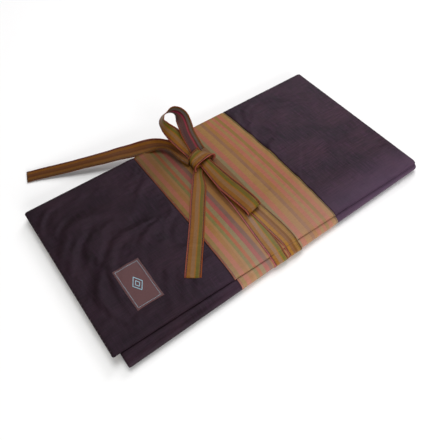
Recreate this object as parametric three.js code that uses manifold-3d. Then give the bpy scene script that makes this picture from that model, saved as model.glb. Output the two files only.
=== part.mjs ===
// A folded silk brush case, tied with its own ribbon.
//
// The case is one long padded cloth folded in three. The back leaf lies on the table and carries
// the sewn brush pockets. A short inner flap folds over from the front edge, and the cover folds
// over everything from the back edge. Each fold is a narrow spine between two hinge lines, and
// the pieces on both sides of a hinge line are mitred so that they close without touching.
//
// Case coordinates: x runs right from the cover's left end, y runs back from the cover's front
// edge, z runs up from the table. The outer group moves the origin to the middle of the footprint.
// Millimetres throughout.

import * as THREE from "three";
import { RoundedBoxGeometry } from "three/addons/geometries/RoundedBoxGeometry.js";
import { mergeVertices } from "three/addons/utils/BufferGeometryUtils.js";
import Module from "manifold-3d";

const wasm = await Module();
wasm.setup();

// ---- Driving dimensions ---------------------------------------------------------------------

// Closed case
const LENGTH = 400; // along the brushes
const WIDTH = 212; // cover, front edge to back fold
const LEFT_RECESS = 8; // how far the lower leaves stop short of the cover's left end
const FOLD_PROUD_LEFT = 14; // the front fold stands this far out at its left end
const FOLD_PROUD_RIGHT = 1.3; // and this far at its right end
const FLAP_REACH = 88; // free edge of the inner flap, back from the cover's front edge

// The striped band in the middle of the outer cloth
const BAND_START = 140;
const BAND_WIDTH = 132.5;

// Layers of cloth and wadding
const OUTER_CLOTH = 0.8;
const LINING_CLOTH = 0.6;
const LEAF_WADDING = 2.0;
const FLAP_WADDING = 0.8;
const COVER_WADDING = 1.2;
const SPINE_WADDING = 1.0;

// Pockets
const POCKET_COUNT = 8;
const POCKET_ROOM = 4.6; // free height inside a pocket
const POCKET_CLOTH = 0.6;
const POCKET_STEP = 2; // each pocket is this much wider than the one before
const POCKET_SEAM = 1.5; // width of the sewn tuck between two pockets
const POCKET_LENGTH = 250;
const POCKET_INSET = 6; // from the left end of the leaf to the pockets' closed end
const POCKET_FRONT_MARGIN = 11; // from the cover's front edge to the first row of stitches
const POCKET_BACK_MARGIN = 11.5; // from the last row of stitches to the back fold
const POCKET_END_TUCK = 3;
const BINDING_WIDTH = 7;

// Ribbon tie: two passes side by side round the case, a bow on top and two free ends
const RIBBON_WIDTH = 16;
const RIBBON = 0.8;
const PASS_A = { name: "a", front: 190, back: 191 }; // x of its middle at the front and back folds
const PASS_GAP_FRONT = 5.8; // between the passes at the front fold
const PASS_GAP_BACK = 0.8; // and at the back fold
const KNOT = { x: 198, y: 152.5, long: 24, deep: 20, high: 10, round: 4.4, turn: 0.28 };

// Label sewn to the cover
const LABEL = { left: 42, front: 27.5, long: 30, deep: 51.5, thick: 0.5 };

const GAP = 0.3; // clearance where pieces meet on a cut or slanted face
const MITRE = 0.21; // half the gap at a mitred hinge line, measured along one axis
const CUT_PAST = 5; // how far a cutter runs past what it cuts

// ---- Sizes that follow ----------------------------------------------------------------------

const BAND_END = BAND_START + BAND_WIDTH;
const LEAF_TOP = OUTER_CLOTH + LEAF_WADDING + LINING_CLOTH;
const POCKET_ROOF = LEAF_TOP + POCKET_ROOM;
const FLAP_BOTTOM = POCKET_ROOF + POCKET_CLOTH + GAP;
const FLAP_TOP = FLAP_BOTTOM + LINING_CLOTH + FLAP_WADDING + OUTER_CLOTH;
const COVER_BOTTOM = FLAP_TOP + GAP;
const TOP = COVER_BOTTOM + LINING_CLOTH + COVER_WADDING + OUTER_CLOTH;

const PASSES = [
  PASS_A,
  {
    name: "b",
    front: PASS_A.front + RIBBON_WIDTH + PASS_GAP_FRONT,
    back: PASS_A.back + RIBBON_WIDTH + PASS_GAP_BACK,
  },
];

const POCKET_SPAN = WIDTH - POCKET_FRONT_MARGIN - POCKET_BACK_MARGIN;
const ALL_STEPS = (POCKET_STEP * POCKET_COUNT * (POCKET_COUNT - 1)) / 2;
const NARROWEST_POCKET = (POCKET_SPAN - POCKET_SEAM * (POCKET_COUNT + 1) - ALL_STEPS) / POCKET_COUNT;

const PANELS = [
  { name: "left", x: [LEFT_RECESS, BAND_START] },
  { name: "band", x: [BAND_START, BAND_END] },
  { name: "right", x: [BAND_END, LENGTH] },
];
const LEAF_X = [LEFT_RECESS, LENGTH];

const FOLD_SLOPE = (FOLD_PROUD_LEFT - FOLD_PROUD_RIGHT) / (LENGTH - LEFT_RECESS);
const FOLD_SLANT = Math.hypot(1, FOLD_SLOPE);

// ---- Materials ------------------------------------------------------------------------------

const cloth = (color, roughness) => new THREE.MeshStandardMaterial({ color, roughness, metalness: 0 });
const DARK_SILK = cloth(0x35292f, 0.55);
const STRIPED_SILK = cloth(0xa8843c, 0.6);
const RIBBON_SILK = cloth(0x97762c, 0.6);
const LINING_SILK = cloth(0x8a6a34, 0.65);
const POCKET_SILK = cloth(0x6d3a40, 0.65);
const WADDING = cloth(0xd9d2c4, 0.95);
const LABEL_CLOTH = cloth(0x4b2c2e, 0.8);
const panelCloth = (panel) => (panel.name === "band" ? STRIPED_SILK : DARK_SILK);

// ---- Geometry helpers -----------------------------------------------------------------------

/** The outer face of the front fold, and lines parallel to it further in. */
const frontY = (x, inset = 0) => -FOLD_PROUD_LEFT + (x - LEFT_RECESS) * FOLD_SLOPE + inset * FOLD_SLANT;

/** Middle of a ribbon pass where it crosses the case at y. */
const passX = (pass, y) => THREE.MathUtils.lerp(pass.front, pass.back, y / WIDTH);

/** Six-sided solid: corner(i, j, k) gives one corner, left or right, front or back, low or high. */
function hexahedron(corner) {
  const signs = [[0, 0], [1, 0], [1, 1], [0, 1]];
  const corners = [0, 1].flatMap((k) => signs.map(([i, j]) => corner(i, j, k)));
  const geometry = new THREE.BufferGeometry();
  geometry.setAttribute("position", new THREE.Float32BufferAttribute(corners.flat(), 3));
  geometry.setIndex([
    0, 2, 1, 0, 3, 2, 4, 5, 6, 4, 6, 7, 0, 1, 5, 0, 5, 4,
    1, 2, 6, 1, 6, 5, 2, 3, 7, 2, 7, 6, 3, 0, 4, 3, 4, 7,
  ]);
  return geometry;
}

/** Box between two x, two y and two z values. */
const box = (x, y, z) => hexahedron((i, j, k) => [x[i], y[j], z[k]]);

/** Lying layer: front(x, z) and back(z) say where it ends, so its ends can be mitred. */
const layer = (x, z, front, back) =>
  hexahedron((i, j, k) => [x[i], j ? back(z[k]) : front(x[i], z[k]), z[k]]);

const rootFront = (x, z) => frontY(x, z + MITRE);
const rootBack = (z) => WIDTH - z - MITRE;

/** Strip of ribbon of a pass, lying under or over the case. */
function passStrip(pass, z, front, back) {
  return hexahedron((i, j, k) => {
    const side = (i - 0.5) * RIBBON_WIDTH;
    const y = j ? back(z[k]) : front(pass.front + side, z[k]);
    return [passX(pass, y) + side, y, z[k]];
  });
}

/** A mesh's geometry as a solid, with equal corners merged. */
function toSolid(geometry) {
  const bare = geometry.clone();
  bare.deleteAttribute("normal");
  bare.deleteAttribute("uv");
  const merged = mergeVertices(bare, 1e-5);
  return new wasm.Manifold(new wasm.Mesh({
    numProp: 3,
    vertProperties: new Float32Array(merged.attributes.position.array),
    triVerts: new Uint32Array(merged.index.array),
  }));
}

function toGeometry(solid) {
  const { vertProperties, triVerts } = solid.getMesh();
  const geometry = new THREE.BufferGeometry();
  geometry.setAttribute("position", new THREE.BufferAttribute(vertProperties, 3));
  geometry.setIndex(new THREE.BufferAttribute(triVerts, 1));
  return geometry;
}

const cut = (geometry, cutter) => toGeometry(toSolid(geometry).subtract(toSolid(cutter)));
const join = (first, second) => toGeometry(toSolid(first).add(toSolid(second)));

/** Flat ribbon swept along a smooth curve; across lists the width direction at even steps along it. */
function ribbon(points, across, steps) {
  const curve = new THREE.CatmullRomCurve3(points.map((p) => new THREE.Vector3(...p)), false, "centripetal");
  const directions = across.map((d) => new THREE.Vector3(...d).normalize());
  const positions = [];
  for (let step = 0; step <= steps; step += 1) {
    const along = step / steps;
    const place = along * (directions.length - 1);
    const from = Math.min(Math.floor(place), directions.length - 2);
    const tangent = curve.getTangentAt(along);
    const width = directions[from].clone().lerp(directions[from + 1], place - from);
    width.addScaledVector(tangent, -width.dot(tangent)).setLength(RIBBON_WIDTH / 2);
    const rise = tangent.clone().cross(width).setLength(RIBBON / 2);
    const centre = curve.getPointAt(along);
    for (const [w, r] of [[-1, -1], [1, -1], [1, 1], [-1, 1]]) {
      positions.push(...centre.clone().addScaledVector(width, w).addScaledVector(rise, r));
    }
  }
  const index = [0, 2, 1, 0, 3, 2];
  const last = 4 * steps;
  index.push(last, last + 1, last + 2, last, last + 2, last + 3);
  for (let ring = 0; ring < last; ring += 4) {
    for (let side = 0; side < 4; side += 1) {
      const [a, b] = [ring + side, ring + ((side + 1) % 4)];
      index.push(a, b, b + 4, a, b + 4, a + 4);
    }
  }
  const geometry = new THREE.BufferGeometry();
  geometry.setAttribute("position", new THREE.Float32BufferAttribute(positions, 3));
  geometry.setIndex(index);
  return geometry;
}

// ---- Assembly -------------------------------------------------------------------------------

const group = new THREE.Group();
const footprintBack = WIDTH + RIBBON;
group.position.set(-LENGTH / 2, -(footprintBack - FOLD_PROUD_LEFT) / 2, 0);

function add(name, geometry, material) {
  const mesh = new THREE.Mesh(geometry, material);
  mesh.name = name;
  group.add(mesh);
}

// ---- Back leaf: lies on the table, with the ribbon passes pressed into its underside --------

/** Plan of the shallow channel that both passes lie in, widened by spare on each side. */
function channel(z, front, back, spare) {
  return hexahedron((i, j, k) => {
    const side = (i ? 1 : -1) * (RIBBON_WIDTH / 2 + spare);
    const y = j ? back(z[k]) : front(PASSES[i].front + side, z[k]);
    return [passX(PASSES[i], y) + side, y, z[k]];
  });
}

function addBackLeaf() {
  const channelRoof = RIBBON + GAP;
  const channelTop = channelRoof + OUTER_CLOTH;
  const pastFront = () => -FOLD_PROUD_LEFT - CUT_PAST;
  const pastBack = () => WIDTH + CUT_PAST;
  const groove = channel([-CUT_PAST, channelRoof], pastFront, pastBack, GAP);
  const hump = channel([0, channelTop], rootFront, rootBack, GAP + OUTER_CLOTH);
  const humpRoom = channel([0, channelTop], pastFront, pastBack, 2 * GAP + OUTER_CLOTH);

  for (const panel of PANELS) {
    const sheet = layer(panel.x, [0, OUTER_CLOTH], rootFront, rootBack);
    const shell = panel.name === "band" ? cut(join(sheet, hump), groove) : sheet;
    add(`back_leaf_cloth_${panel.name}`, shell, panelCloth(panel));
  }
  const wadding = layer(LEAF_X, [OUTER_CLOTH, OUTER_CLOTH + LEAF_WADDING], rootFront, rootBack);
  add("back_leaf_wadding", cut(wadding, humpRoom), WADDING);
  const lining = layer(LEAF_X, [LEAF_TOP - LINING_CLOTH, LEAF_TOP], rootFront, rootBack);
  add("back_leaf_lining", lining, LINING_SILK);
  for (const pass of PASSES) {
    add(`tie_under_${pass.name}`, passStrip(pass, [0, RIBBON], rootFront, rootBack), RIBBON_SILK);
  }
}

// ---- Pockets: one cloth sewn down in rows, open at the right --------------------------------

function addPockets() {
  const closedEnd = LEFT_RECESS + POCKET_INSET;
  const mouth = closedEnd + POCKET_LENGTH;
  const standing = [LEAF_TOP, POCKET_ROOF];
  let y = POCKET_FRONT_MARGIN;
  for (let seam = 0; seam <= POCKET_COUNT; seam += 1) {
    const seamX = [closedEnd + POCKET_END_TUCK, mouth];
    add(`pocket_seam_${seam + 1}`, box(seamX, [y, y + POCKET_SEAM], standing), POCKET_SILK);
    y += POCKET_SEAM + (seam < POCKET_COUNT ? NARROWEST_POCKET + seam * POCKET_STEP : 0);
  }
  const span = [POCKET_FRONT_MARGIN, y];
  add("pocket_closed_end", box([closedEnd, closedEnd + POCKET_END_TUCK], span, standing), POCKET_SILK);
  const roof = [POCKET_ROOF, POCKET_ROOF + POCKET_CLOTH];
  add("pocket_panel", box([closedEnd, mouth - BINDING_WIDTH], span, roof), POCKET_SILK);
  add("pocket_binding", box([mouth - BINDING_WIDTH, mouth], span, roof), STRIPED_SILK);
}

// ---- Back spine: stands between the back leaf and the cover ---------------------------------

/** Standing layer between two depths in from the back face, mitred; its left end leans to the cover's. */
function backWall(x, depth) {
  return hexahedron((i, j, k) => {
    const inset = depth[1 - j];
    const z = k ? TOP - inset - MITRE : inset + MITRE;
    const atLeftEnd = x[i] === LEFT_RECESS;
    return [atLeftEnd ? LEFT_RECESS * (1 - z / TOP) : x[i], WIDTH - inset, z];
  });
}

function addBackSpine() {
  const waddingIn = OUTER_CLOTH + SPINE_WADDING;
  for (const panel of PANELS) {
    add(`back_spine_cloth_${panel.name}`, backWall(panel.x, [0, OUTER_CLOTH]), panelCloth(panel));
  }
  add("back_spine_wadding", backWall(LEAF_X, [OUTER_CLOTH, waddingIn]), WADDING);
  add("back_spine_lining", backWall(LEAF_X, [waddingIn, waddingIn + LINING_CLOTH]), LINING_SILK);
  for (const pass of PASSES) {
    const x = [pass.back - RIBBON_WIDTH / 2, pass.back + RIBBON_WIDTH / 2];
    add(`tie_back_${pass.name}`, box(x, [WIDTH, WIDTH + RIBBON], [MITRE, TOP - MITRE]), RIBBON_SILK);
  }
}

// ---- Front spine and inner flap: the fold that stands out below the cover's front edge ------

/** Standing layer between two depths in from the slanted front face, mitred top and bottom. */
function frontWall(x, depth) {
  return hexahedron((i, j, k) => {
    const inset = depth[j];
    const z = k ? FLAP_TOP - Math.max(inset, 0) - MITRE : Math.max(inset, 0) + MITRE;
    return [x[i], frontY(x[i], inset), z];
  });
}

function addFrontSpine() {
  const waddingFrom = OUTER_CLOTH + GAP;
  const liningFrom = waddingFrom + FLAP_WADDING + GAP;
  for (const panel of PANELS) {
    add(`front_spine_cloth_${panel.name}`, frontWall(panel.x, [0, OUTER_CLOTH]), panelCloth(panel));
  }
  add("front_spine_wadding", frontWall(LEAF_X, [waddingFrom, waddingFrom + FLAP_WADDING]), WADDING);
  add("front_spine_lining", frontWall(LEAF_X, [liningFrom, liningFrom + LINING_CLOTH]), LINING_SILK);
  for (const pass of PASSES) {
    const x = [pass.front - RIBBON_WIDTH / 2, pass.front + RIBBON_WIDTH / 2];
    add(`tie_front_${pass.name}`, frontWall(x, [-GAP - RIBBON, -GAP]), RIBBON_SILK);
  }
}

function addInnerFlap() {
  const front = (x, z) => frontY(x, FLAP_TOP - z + MITRE);
  const back = () => FLAP_REACH;
  const liningTop = FLAP_BOTTOM + LINING_CLOTH;
  const waddingTop = liningTop + FLAP_WADDING;
  add("inner_flap_lining", layer(LEAF_X, [FLAP_BOTTOM, liningTop], front, back), LINING_SILK);
  add("inner_flap_wadding", layer(LEAF_X, [liningTop, waddingTop], front, back), WADDING);
  for (const panel of PANELS) {
    const shell = layer(panel.x, [waddingTop, FLAP_TOP], front, back);
    add(`inner_flap_cloth_${panel.name}`, shell, panelCloth(panel));
  }
  for (const pass of PASSES) {
    const stepFront = (x) => frontY(x, MITRE);
    const strip = passStrip(pass, [FLAP_TOP, FLAP_TOP + RIBBON], stepFront, () => -RIBBON - GAP);
    add(`tie_step_${pass.name}`, strip, RIBBON_SILK);
  }
}

// ---- Cover: the outer leaf, its label, the passes over it and the bow -----------------------

function addCover() {
  const front = () => 0;
  const back = (z) => WIDTH - (TOP - z) - MITRE;
  const liningTop = COVER_BOTTOM + LINING_CLOTH;
  const waddingTop = liningTop + COVER_WADDING;
  add("cover_lining", layer([0, LENGTH], [COVER_BOTTOM, liningTop], front, back), LINING_SILK);
  add("cover_wadding", layer([0, LENGTH], [liningTop, waddingTop], front, back), WADDING);
  for (const panel of PANELS) {
    const x = [panel.name === "left" ? 0 : panel.x[0], panel.x[1]];
    add(`cover_cloth_${panel.name}`, layer(x, [waddingTop, TOP], front, back), panelCloth(panel));
  }
  const labelX = [LABEL.left, LABEL.left + LABEL.long];
  const labelY = [LABEL.front, LABEL.front + LABEL.deep];
  add("label", box(labelX, labelY, [TOP, TOP + LABEL.thick]), LABEL_CLOTH);
  for (const pass of PASSES) {
    const over = passStrip(pass, [TOP, TOP + RIBBON], () => -RIBBON, () => WIDTH - MITRE);
    const x = [-1, 1].map((side) => passX(pass, -RIBBON / 2) + (side * RIBBON_WIDTH) / 2);
    const edge = box(x, [-RIBBON, 0], [FLAP_TOP + RIBBON + GAP, TOP + RIBBON]);
    add(`tie_over_${pass.name}`, join(over, edge), RIBBON_SILK);
  }
}

/** Rounded block of the knot, or the space that it and its clearance take. */
function knotBlock(spare) {
  const [long, deep, high] = [KNOT.long, KNOT.deep, KNOT.high].map((side) => side + 2 * spare);
  const block = new RoundedBoxGeometry(long, deep, high, 3, KNOT.round + spare);
  block.rotateZ(KNOT.turn);
  return block.translate(KNOT.x, KNOT.y, TOP + RIBBON + GAP + KNOT.high / 2);
}

function addBow() {
  const up = (height) => TOP + height;
  const upperLoop = ribbon(
    [
      [197, 156, up(7)], [198.5, 168, up(10)], [199, 181, up(14)], [198, 192, up(18)], [193, 204, up(24)],
      [186, 210.5, up(29)], [184, 213, up(33)], [192, 215.5, up(37)], [202, 212, up(39)], [209, 204, up(37)],
      [210.5, 194, up(31)], [209, 184, up(23)], [206, 172, up(15)], [203, 160, up(9)],
    ],
    [
      [0.93, -0.04, 0.36], [0.93, -0.04, 0.36], [0.5, -0.4, 0.65], [-0.1, -0.5, 0.9], [0.4, -0.4, 0.6],
      [0.93, -0.31, 0.18], [0.93, -0.31, 0.18],
    ],
    40,
  );
  const lowerLoop = ribbon(
    [
      [206, 148, up(4)], [207, 138, up(2)], [207.3, 118, up(1.7)], [207.5, 92, up(1.7)], [208.5, 68, up(1.8)],
      [208.8, 62, up(3.4)], [208.8, 60.5, up(6)], [208.7, 62, up(8.8)], [208.5, 68, up(10.4)],
      [207.5, 92, up(11)], [206, 118, up(10.5)], [204, 138, up(9)], [202, 150, up(7.5)],
    ],
    [[1, 0, 0], [1, 0, 0]],
    40,
  );
  const frontTail = ribbon(
    [
      [192, 145, up(3.5)], [184.8, 135, up(2.2)], [177, 122, up(1.8)], [162, 102, up(0.9)],
      [148, 82.5, up(0.8)], [126.5, 54, up(0.8)], [104.4, 25, up(1.2)],
    ],
    [[0.8, -0.6, 0], [0.8, -0.6, 0]],
    20,
  );
  const leftTail = ribbon(
    [
      [193, 156, up(3.5)], [187, 172, up(4.6)], [184, 188, up(4.6)], [179.5, 198, up(4.2)],
      [170.5, 207, up(3)], [155.5, 214, up(1.8)], [142, 219, up(0.9)], [130.5, 224, up(0.2)],
      [116.5, 229, up(-1)], [102, 235.5, up(-2.8)], [87.5, 242.5, up(-5)], [73.5, 249, up(-7.2)],
      [57, 257, up(-9.6)], [40, 265, up(-11.6)], [25, 270.5, 1.4],
    ],
    [[0.9, 0.4, 0], [0.4, 0.9, 0], [0, 1, 0], [0, 1, 0]],
    32,
  );
  add("tie_knot", toGeometry(toSolid(knotBlock(0))), RIBBON_SILK);
  const knotRoom = knotBlock(GAP);
  add("tie_loop_upper", cut(upperLoop, knotRoom), RIBBON_SILK);
  add("tie_loop_lower", cut(lowerLoop, knotRoom), RIBBON_SILK);
  add("tie_tail_front", cut(frontTail, knotRoom), RIBBON_SILK);
  add("tie_tail_left", cut(leftTail, knotRoom), RIBBON_SILK);
}

addBackLeaf();
addPockets();
addBackSpine();
addFrontSpine();
addInnerFlap();
addCover();
addBow();

export default group;
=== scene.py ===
"""The folded silk brush case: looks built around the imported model.

Sizes are in millimetres in the case's own frame, as the model was designed: x runs right from
the cover's left end, y runs back from the cover's front edge and z runs up from the table.
to_row() turns them into metres in the frame that everything else uses.
"""

import math

import bmesh
import bpy
import numpy as np
from mathutils import Matrix, Vector


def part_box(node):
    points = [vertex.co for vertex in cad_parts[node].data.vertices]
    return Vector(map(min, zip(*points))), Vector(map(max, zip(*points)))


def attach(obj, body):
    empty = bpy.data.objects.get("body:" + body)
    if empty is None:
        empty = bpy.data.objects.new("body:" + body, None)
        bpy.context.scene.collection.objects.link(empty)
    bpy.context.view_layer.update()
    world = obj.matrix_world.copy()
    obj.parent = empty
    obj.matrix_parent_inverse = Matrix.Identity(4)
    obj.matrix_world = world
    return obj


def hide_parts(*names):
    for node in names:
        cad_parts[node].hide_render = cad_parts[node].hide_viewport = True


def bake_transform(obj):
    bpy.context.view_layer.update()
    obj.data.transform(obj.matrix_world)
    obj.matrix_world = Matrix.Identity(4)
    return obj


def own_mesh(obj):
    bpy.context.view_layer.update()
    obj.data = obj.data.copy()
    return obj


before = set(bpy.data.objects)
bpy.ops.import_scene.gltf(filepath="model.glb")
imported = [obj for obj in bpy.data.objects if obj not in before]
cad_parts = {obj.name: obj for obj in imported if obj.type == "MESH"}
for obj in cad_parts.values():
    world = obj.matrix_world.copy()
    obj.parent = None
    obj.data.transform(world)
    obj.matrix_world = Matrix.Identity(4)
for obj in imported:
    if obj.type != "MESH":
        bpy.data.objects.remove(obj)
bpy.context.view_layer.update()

MM = 0.001
RNG_SEED = 7
WELD = 2e-6  # metres
MAP_UNIT = 100  # millimetres of cloth to one unit of its map

# ---- Sizes read from the model ------------------------------------------------------------------

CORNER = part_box("cover_cloth_left")[0]
ORIGIN = np.array([CORNER.x, CORNER.y, 0.0])


def to_row(points):
    """Case millimetres to metres in the row frame."""
    return np.asarray(points, float) * MM + ORIGIN


def row_spot(x, y, z):
    return to_row((x, y, z)).tolist()


def low(node):
    """Lowest corner of a CAD node, in case millimetres."""
    return (np.array(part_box(node)[0]) - ORIGIN) / MM


def high(node):
    """Highest corner of a CAD node, in case millimetres."""
    return (np.array(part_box(node)[1]) - ORIGIN) / MM


LENGTH = high("cover_cloth_right")[0]
WIDTH = high("back_spine_cloth_left")[1]
TOP = high("cover_cloth_left")[2]
COVER_THICK = TOP - low("cover_lining")[2]
LEAF_TOP = high("back_leaf_lining")[2]
FLAP_TOP = high("inner_flap_cloth_left")[2]
FLAP_THICK = FLAP_TOP - low("inner_flap_lining")[2]
FLAP_REACH = high("inner_flap_lining")[1]
LEFT_RECESS = low("front_spine_lining")[0]
BAND_LEFT, BAND_RIGHT = low("cover_cloth_band")[0], high("cover_cloth_band")[0]
RIBBON = high("tie_over_a")[2] - TOP
RIBBON_WIDTH = high("tie_back_a")[0] - low("tie_back_a")[0]
FOLD_LEFT = low("front_spine_cloth_left")[1]
FOLD_SLOPE = (low("front_spine_cloth_right")[1] - FOLD_LEFT) / (BAND_RIGHT - LEFT_RECESS)
BACK_ROUND = TOP / 2  # the back fold is a half round from top to table
FLAT_END = WIDTH - BACK_ROUND  # the leaves are flat up to the back fold
FRONT_MID = FLAP_TOP / 2
EDGE_ROLL = 7.0  # the cover's front edge is rolled over this depth
END_ROLL = 3.0
LYING = 12.0  # the front strip runs this far in under the case


def fold_y(x):
    """Outer face of the slanted front fold."""
    return FOLD_LEFT + (x - LEFT_RECESS) * FOLD_SLOPE


# ---- Camera and lights --------------------------------------------------------------------------

CAMERA_PLACE = (-15.0, -219.8, 462.9)  # case millimetres
CAMERA_AZIMUTH, CAMERA_ELEVATION, CAMERA_ROLL = 32.46, 52.68, -3.65  # degrees
CAMERA_LENS = 42.77


def add_camera():
    """Camera above the front left of the case, looking down and back to the right."""
    data = bpy.data.cameras.new("camera")
    data.lens = CAMERA_LENS
    data.sensor_width = 36
    data.clip_start, data.clip_end = 0.01, 20
    camera = bpy.data.objects.new("camera", data)
    bpy.context.collection.objects.link(camera)
    turn = Matrix.Rotation(math.radians(-CAMERA_AZIMUTH), 4, "Z")
    tilt = Matrix.Rotation(math.radians(90 - CAMERA_ELEVATION), 4, "X")
    roll = Matrix.Rotation(math.radians(CAMERA_ROLL), 4, "Z")
    camera.matrix_world = Matrix.Translation(Vector(to_row(CAMERA_PLACE))) @ turn @ tilt @ roll
    bpy.context.scene.camera = camera


def add_area_light(name, place, aim, size, power, colour=(1, 1, 1)):
    """Square soft light at place, facing aim; both in metres."""
    data = bpy.data.lights.new(name, "AREA")
    data.size, data.energy, data.color = size, power, colour
    light = bpy.data.objects.new(name, data)
    bpy.context.collection.objects.link(light)
    light.location = place
    light.rotation_euler = (Vector(aim) - Vector(place)).to_track_quat("-Z", "Y").to_euler()


def add_lights():
    """Soft studio: a wide overhead light, a sheen light behind on the right and a weak front fill."""
    middle = (0, 0, 0.01)
    add_area_light("overhead_light", (0.15, 0.25, 1.5), middle, 1.0, 14)
    add_area_light("sheen_light", (1.25, 0.95, 1.25), (0.1, 0.02, 0), 0.9, 13, (1.0, 0.97, 1.0))
    add_area_light("front_fill", (-0.3, -1.5, 0.4), middle, 0.9, 22)
    bpy.context.scene.view_settings.view_transform = "Standard"
    world = bpy.context.scene.world or bpy.data.worlds.new("world")
    bpy.context.scene.world = world
    world.use_nodes = True
    world.node_tree.nodes["Background"].inputs["Color"].default_value = (1, 1, 1, 1)
    world.node_tree.nodes["Background"].inputs["Strength"].default_value = 0.26


# ---- Node helpers -------------------------------------------------------------------------------


class Wire:
    """One output of a node; arithmetic on it adds Math nodes."""

    def __init__(self, finish, output):
        self.finish, self.output = finish, output

    def math(self, operation, *values):
        """The output of a Math node fed with wires or numbers."""
        return self.finish.node("Math", {"operation": operation}, dict(enumerate(values)))

    def __add__(self, other):
        return self.math("ADD", self, other)

    def __sub__(self, other):
        return self.math("SUBTRACT", self, other)

    def __rsub__(self, other):
        return self.math("SUBTRACT", other, self)

    def __mul__(self, other):
        return self.math("MULTIPLY", self, other)

    def __truediv__(self, other):
        return self.math("DIVIDE", self, other)

    def __gt__(self, other):
        return self.math("GREATER_THAN", self, other)

    def __lt__(self, other):
        return self.math("LESS_THAN", self, other)

    __radd__ = __add__
    __rmul__ = __mul__

    def fade(self, start, end):
        """1 at start falling to 0 at end, as a straight ramp held at both sides."""
        ends = {1: start, 2: end, 3: 1.0, 4: 0.0}
        return self.finish.node("MapRange", {"clamp": True}, {0: self, **ends})


class Finish:
    """A material built node by node."""

    def __init__(self, name):
        self.material = bpy.data.materials.new(name)
        self.material.use_nodes = True
        self.tree = self.material.node_tree
        self.tree.nodes.clear()

    def node(self, kind, settings=None, inputs=None, output=0):
        """A node of that kind: settings first, a ramp's stops among them, then values or wires."""
        made = self.tree.nodes.new("ShaderNode" + kind)
        for key, value in (settings or {}).items():
            if key == "stops":
                set_stops(made.color_ramp, value)
            elif key == "interpolation" and kind == "ValToRGB":
                made.color_ramp.interpolation = value
            else:
                setattr(made, key, value)
        for key, value in (inputs or {}).items():
            if isinstance(value, Wire):
                self.tree.links.new(value.output, made.inputs[key])
            else:
                made.inputs[key].default_value = value
        return Wire(self, made.outputs[output]) if made.outputs else None

    def mix(self, share, first, second):
        """Colour mix; share 0 gives first."""
        return self.node("Mix", {"data_type": "RGBA"}, {0: share, 6: first, 7: second}, output=2)

    def cloth_place(self):
        """The cloth's own map: how far across and along it a point lies, in millimetres."""
        place = {"Vector": self.node("UVMap", {"uv_map": "cloth"})}
        return [self.node("SeparateXYZ", None, place, part) * MAP_UNIT for part in (0, 1)]

    def noise(self, across, along, detail=2.0, third=0.0, rough=0.5):
        """Smooth noise of two lengths, already stretched by their own factors."""
        spot = self.node("CombineXYZ", None, {0: across, 1: along, 2: third})
        inputs = {"Vector": spot, "Scale": 1.0, "Detail": detail, "Roughness": rough}
        return self.node("TexNoise", {"noise_dimensions": "3D"}, inputs)

    def close(self, colour, roughness, bump_height=None, bump_depth=0.0001, **constants):
        """Ends the material in a Principled shader; constants go on its own sockets."""
        inputs = {"Base Color": colour, "Roughness": roughness, **constants}
        if bump_height is not None:
            inputs["Normal"] = self.node(
                "Bump", None, {"Height": bump_height, "Strength": 1.0, "Distance": bump_depth})
        shader = self.node("BsdfPrincipled", None, {k.replace("_", " "): v for k, v in inputs.items()})
        self.node("OutputMaterial", None, {"Surface": shader})
        return self.material


def set_stops(ramp, stops):
    """Gives a colour ramp its (place, colour) stops."""
    elements = ramp.elements
    while len(elements) > 1:
        elements.remove(elements[-1])
    elements[0].position, elements[0].color = stops[0]
    for place, colour in stops[1:]:
        elements.new(place).color = colour


def dye(code, depth=(1, 1, 1)):
    """A dyer's six-figure screen colour as linear values, each times its own depth."""
    parts = [int(code[i:i + 2], 16) / 255 for i in (0, 2, 4)]
    linear = [p / 12.92 if p <= 0.04045 else ((p + 0.055) / 1.055) ** 2.4 for p in parts]
    return (*[value * share for value, share in zip(linear, depth)], 1.0)


# ---- Finishes -----------------------------------------------------------------------------------

OCHRE, OLIVE, TAN, GREEN = "8e6420", "7a651c", "93703a", "656c2b"
ROSE, RUST, CRIMSON, PLUM = "a05a4a", "9a4a20", "8e3442", "5c4444"
SAGE, BROWN, MAUVE, KHAKI = "767450", "6e4718", "7c5840", "8c7340"
BURGUNDY, PINK, LILAC, MUSTARD = "4f1020", "b0606c", "8f7566", "9d7320"
DARK_GREEN, BLACK_RED, DEEP_PLUM, MAGENTA, SLATE = "3c4416", "38160f", "4a343c", "941f48", "565a54"

BAND_STRIPES = [  # (width in mm, dye), from the left seam to the right one
    (1.1, ROSE), (0.8, BURGUNDY), (4.6, OLIVE), (5.2, ROSE), (4.4, OCHRE), (2.8, TAN),
    (3.6, GREEN), (3.6, RUST), (4.6, SAGE), (5.0, CRIMSON), (4.2, PLUM), (5.6, OCHRE),
    (7.5, BROWN), (9.0, OCHRE), (7.0, TAN), (8.0, BROWN), (3.8, SAGE), (6.2, ROSE),
    (7.5, TAN), (4.0, MAUVE), (4.6, OCHRE), (5.0, ROSE), (4.0, KHAKI), (3.5, ROSE),
    (4.0, OLIVE), (5.2, ROSE), (5.3, TAN), (0.9, DARK_GREEN), (1.5, OLIVE),
]
FACE_STRIPES = [  # across the ribbon, from its rose edge
    (0.9, PINK), (1.2, BURGUNDY), (3.4, OCHRE), (3.6, LILAC), (1.1, MUSTARD), (3.2, GREEN),
    (0.6, TAN), (1.1, BLACK_RED), (0.9, RUST),
]
OTHER_STRIPES = [  # the tie's other half shows these
    (0.9, ROSE), (1.1, BURGUNDY), (3.2, MUSTARD), (2.8, MAUVE), (2.2, BROWN), (2.8, TAN),
    (1.4, OLIVE), (1.0, BLACK_RED), (0.8, OCHRE),
]
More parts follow.
